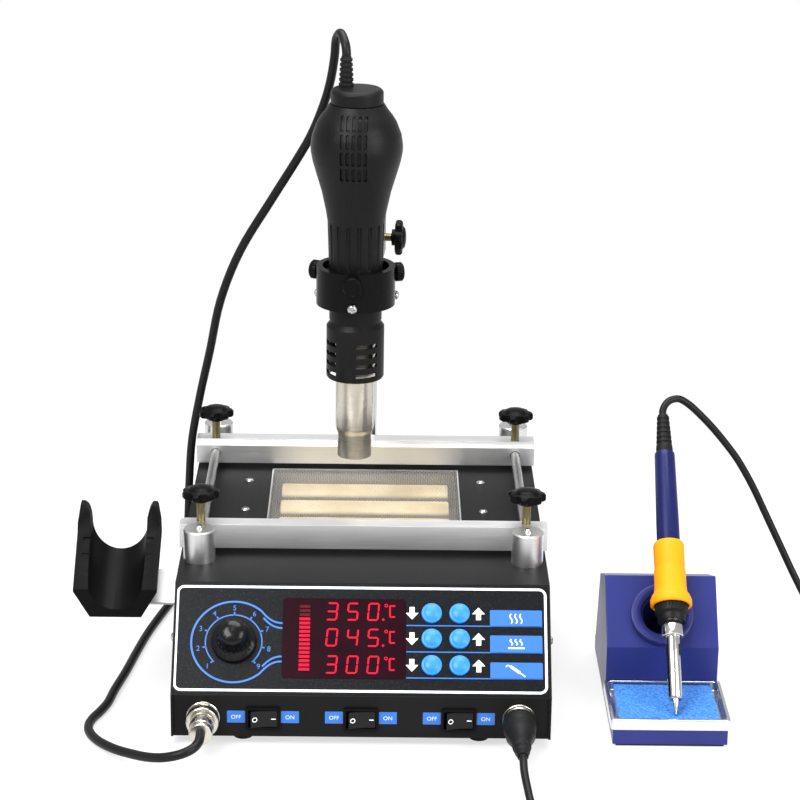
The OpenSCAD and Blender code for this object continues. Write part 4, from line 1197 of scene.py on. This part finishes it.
    def tab_icons(self):
        """Warm air, a heated plate and an iron, in white on the blue tabs."""
        white = Print(PANEL, self.film_face + 0.1)
        for dx in (-3, 0, 3):
            self.curl(white, 93.9 + dx, 50.6, 6.2)
            self.curl(white, 93.9 + dx, 35.4, 3.8)
        white.bar(93.9, 31.6, 10, 1)
        white.line([(90.2, 20.0), (96.0, 15.8)], 1.7)
        white.line([(96.0, 15.8), (99.2, 13.5)], 0.7)
        white.line([(87.4, 19.6), (88.6, 20.7), (90.2, 20.0)], 0.6)
        white.laid("panel_print_icons", "print_white")

    @staticmethod
    def curl(sheet, x, y, height):
        """A rising wavy line."""
        steps = 12
        places = [i / steps for i in range(steps + 1)]
        sheet.line([(x + 0.7 * math.sin(2 * math.pi * t), y + height * (t - 0.5)) for t in places], 0.7)

    @staticmethod
    def rocker_marks():
        """A ring and a bar on the two faces of each rocker."""
        rest, slope, reach, face = 7.0, 8.2, 5.67, 5.05
        for side in ("left", "middle", "right"):
            body = f"rocker_{side}"
            pivot = Vector(JOINTS[f"{body}_tip"]["pos_m"])
            tipped = Matrix.Rotation(math.radians(rest), 3, "Z")
            for way in (-1, 1):
                zero = pivot + tipped @ Vector((way * reach, -face, 0)) * MM
                turn = Matrix.Rotation(math.radians(rest - way * slope), 3, "Z")
                across, out = turn @ Vector((1, 0, 0)), turn @ Vector((0, -1, 0))
                mark = Print(board(zero, across, Vector((0, 0, 1)), out), 0.02)
                if way < 0:
                    mark.arc(0, 0, 1.35, 0.5, 0, 360, 32)
                else:
                    mark.bar(0, 0, 2.8, 0.55)
                mark.laid(f"{body}_mark_{'off' if way < 0 else 'on'}", "print_white", body)

    @staticmethod
    def switch_tags():
        tags = Print(FRONT, 0.02)
        letters = Print(FRONT, 0.12)
        for x in (-59.2, 0, 59.2):
            for side, word in ((-16.4, "OFF"), (16.2, "ON")):
                tags.bar(x + side, 18.9, 10.9, 7.9, 0.4)
                letters.words(word, x + side, 18.9, 2.6)
        tags.laid("switch_tags", "print_blue")
        letters.laid("switch_words", "print_pale")


class StationSidebar(bpy.types.Panel):
    """Lists the steps in the sidebar of the 3D view"""

    bl_idname = "VIEW3D_PT_station"
    bl_label = "Station"
    bl_space_type = "VIEW_3D"
    bl_region_type = "UI"
    bl_category = "Station"

    def draw(self, context):
        for step in STEPS:
            self.layout.operator(step.bl_idname)
        for group in GROUPS:
            sizes = getattr(context.scene, group)
            for name in sizes.bl_rna.properties.keys():
                if name not in ("rna_type", "name"):
                    self.layout.prop(sizes, name)


STEPS = (StationStage, StationCords, StationCasing, StationPreheater, StationRails, StationColumn,
         StationIron, StationPanel)
GROUPS = {"station_stage": StageSizes, "station_cords": CordSizes, "station_panel": PanelSizes}


def register():
    for kind in (*GROUPS.values(), *STEPS, StationSidebar):
        bpy.utils.register_class(kind)
    for name, kind in GROUPS.items():
        setattr(bpy.types.Scene, name, PointerProperty(type=kind))


def unregister():
    for name in GROUPS:
        delattr(bpy.types.Scene, name)
    for kind in reversed((*GROUPS.values(), *STEPS, StationSidebar)):
        bpy.utils.unregister_class(kind)


def main():
    register()
    for step in STEPS:
        group, name = step.bl_idname.split(".")
        getattr(getattr(bpy.ops, group), name)()


if __name__ == "__main__":
    main()
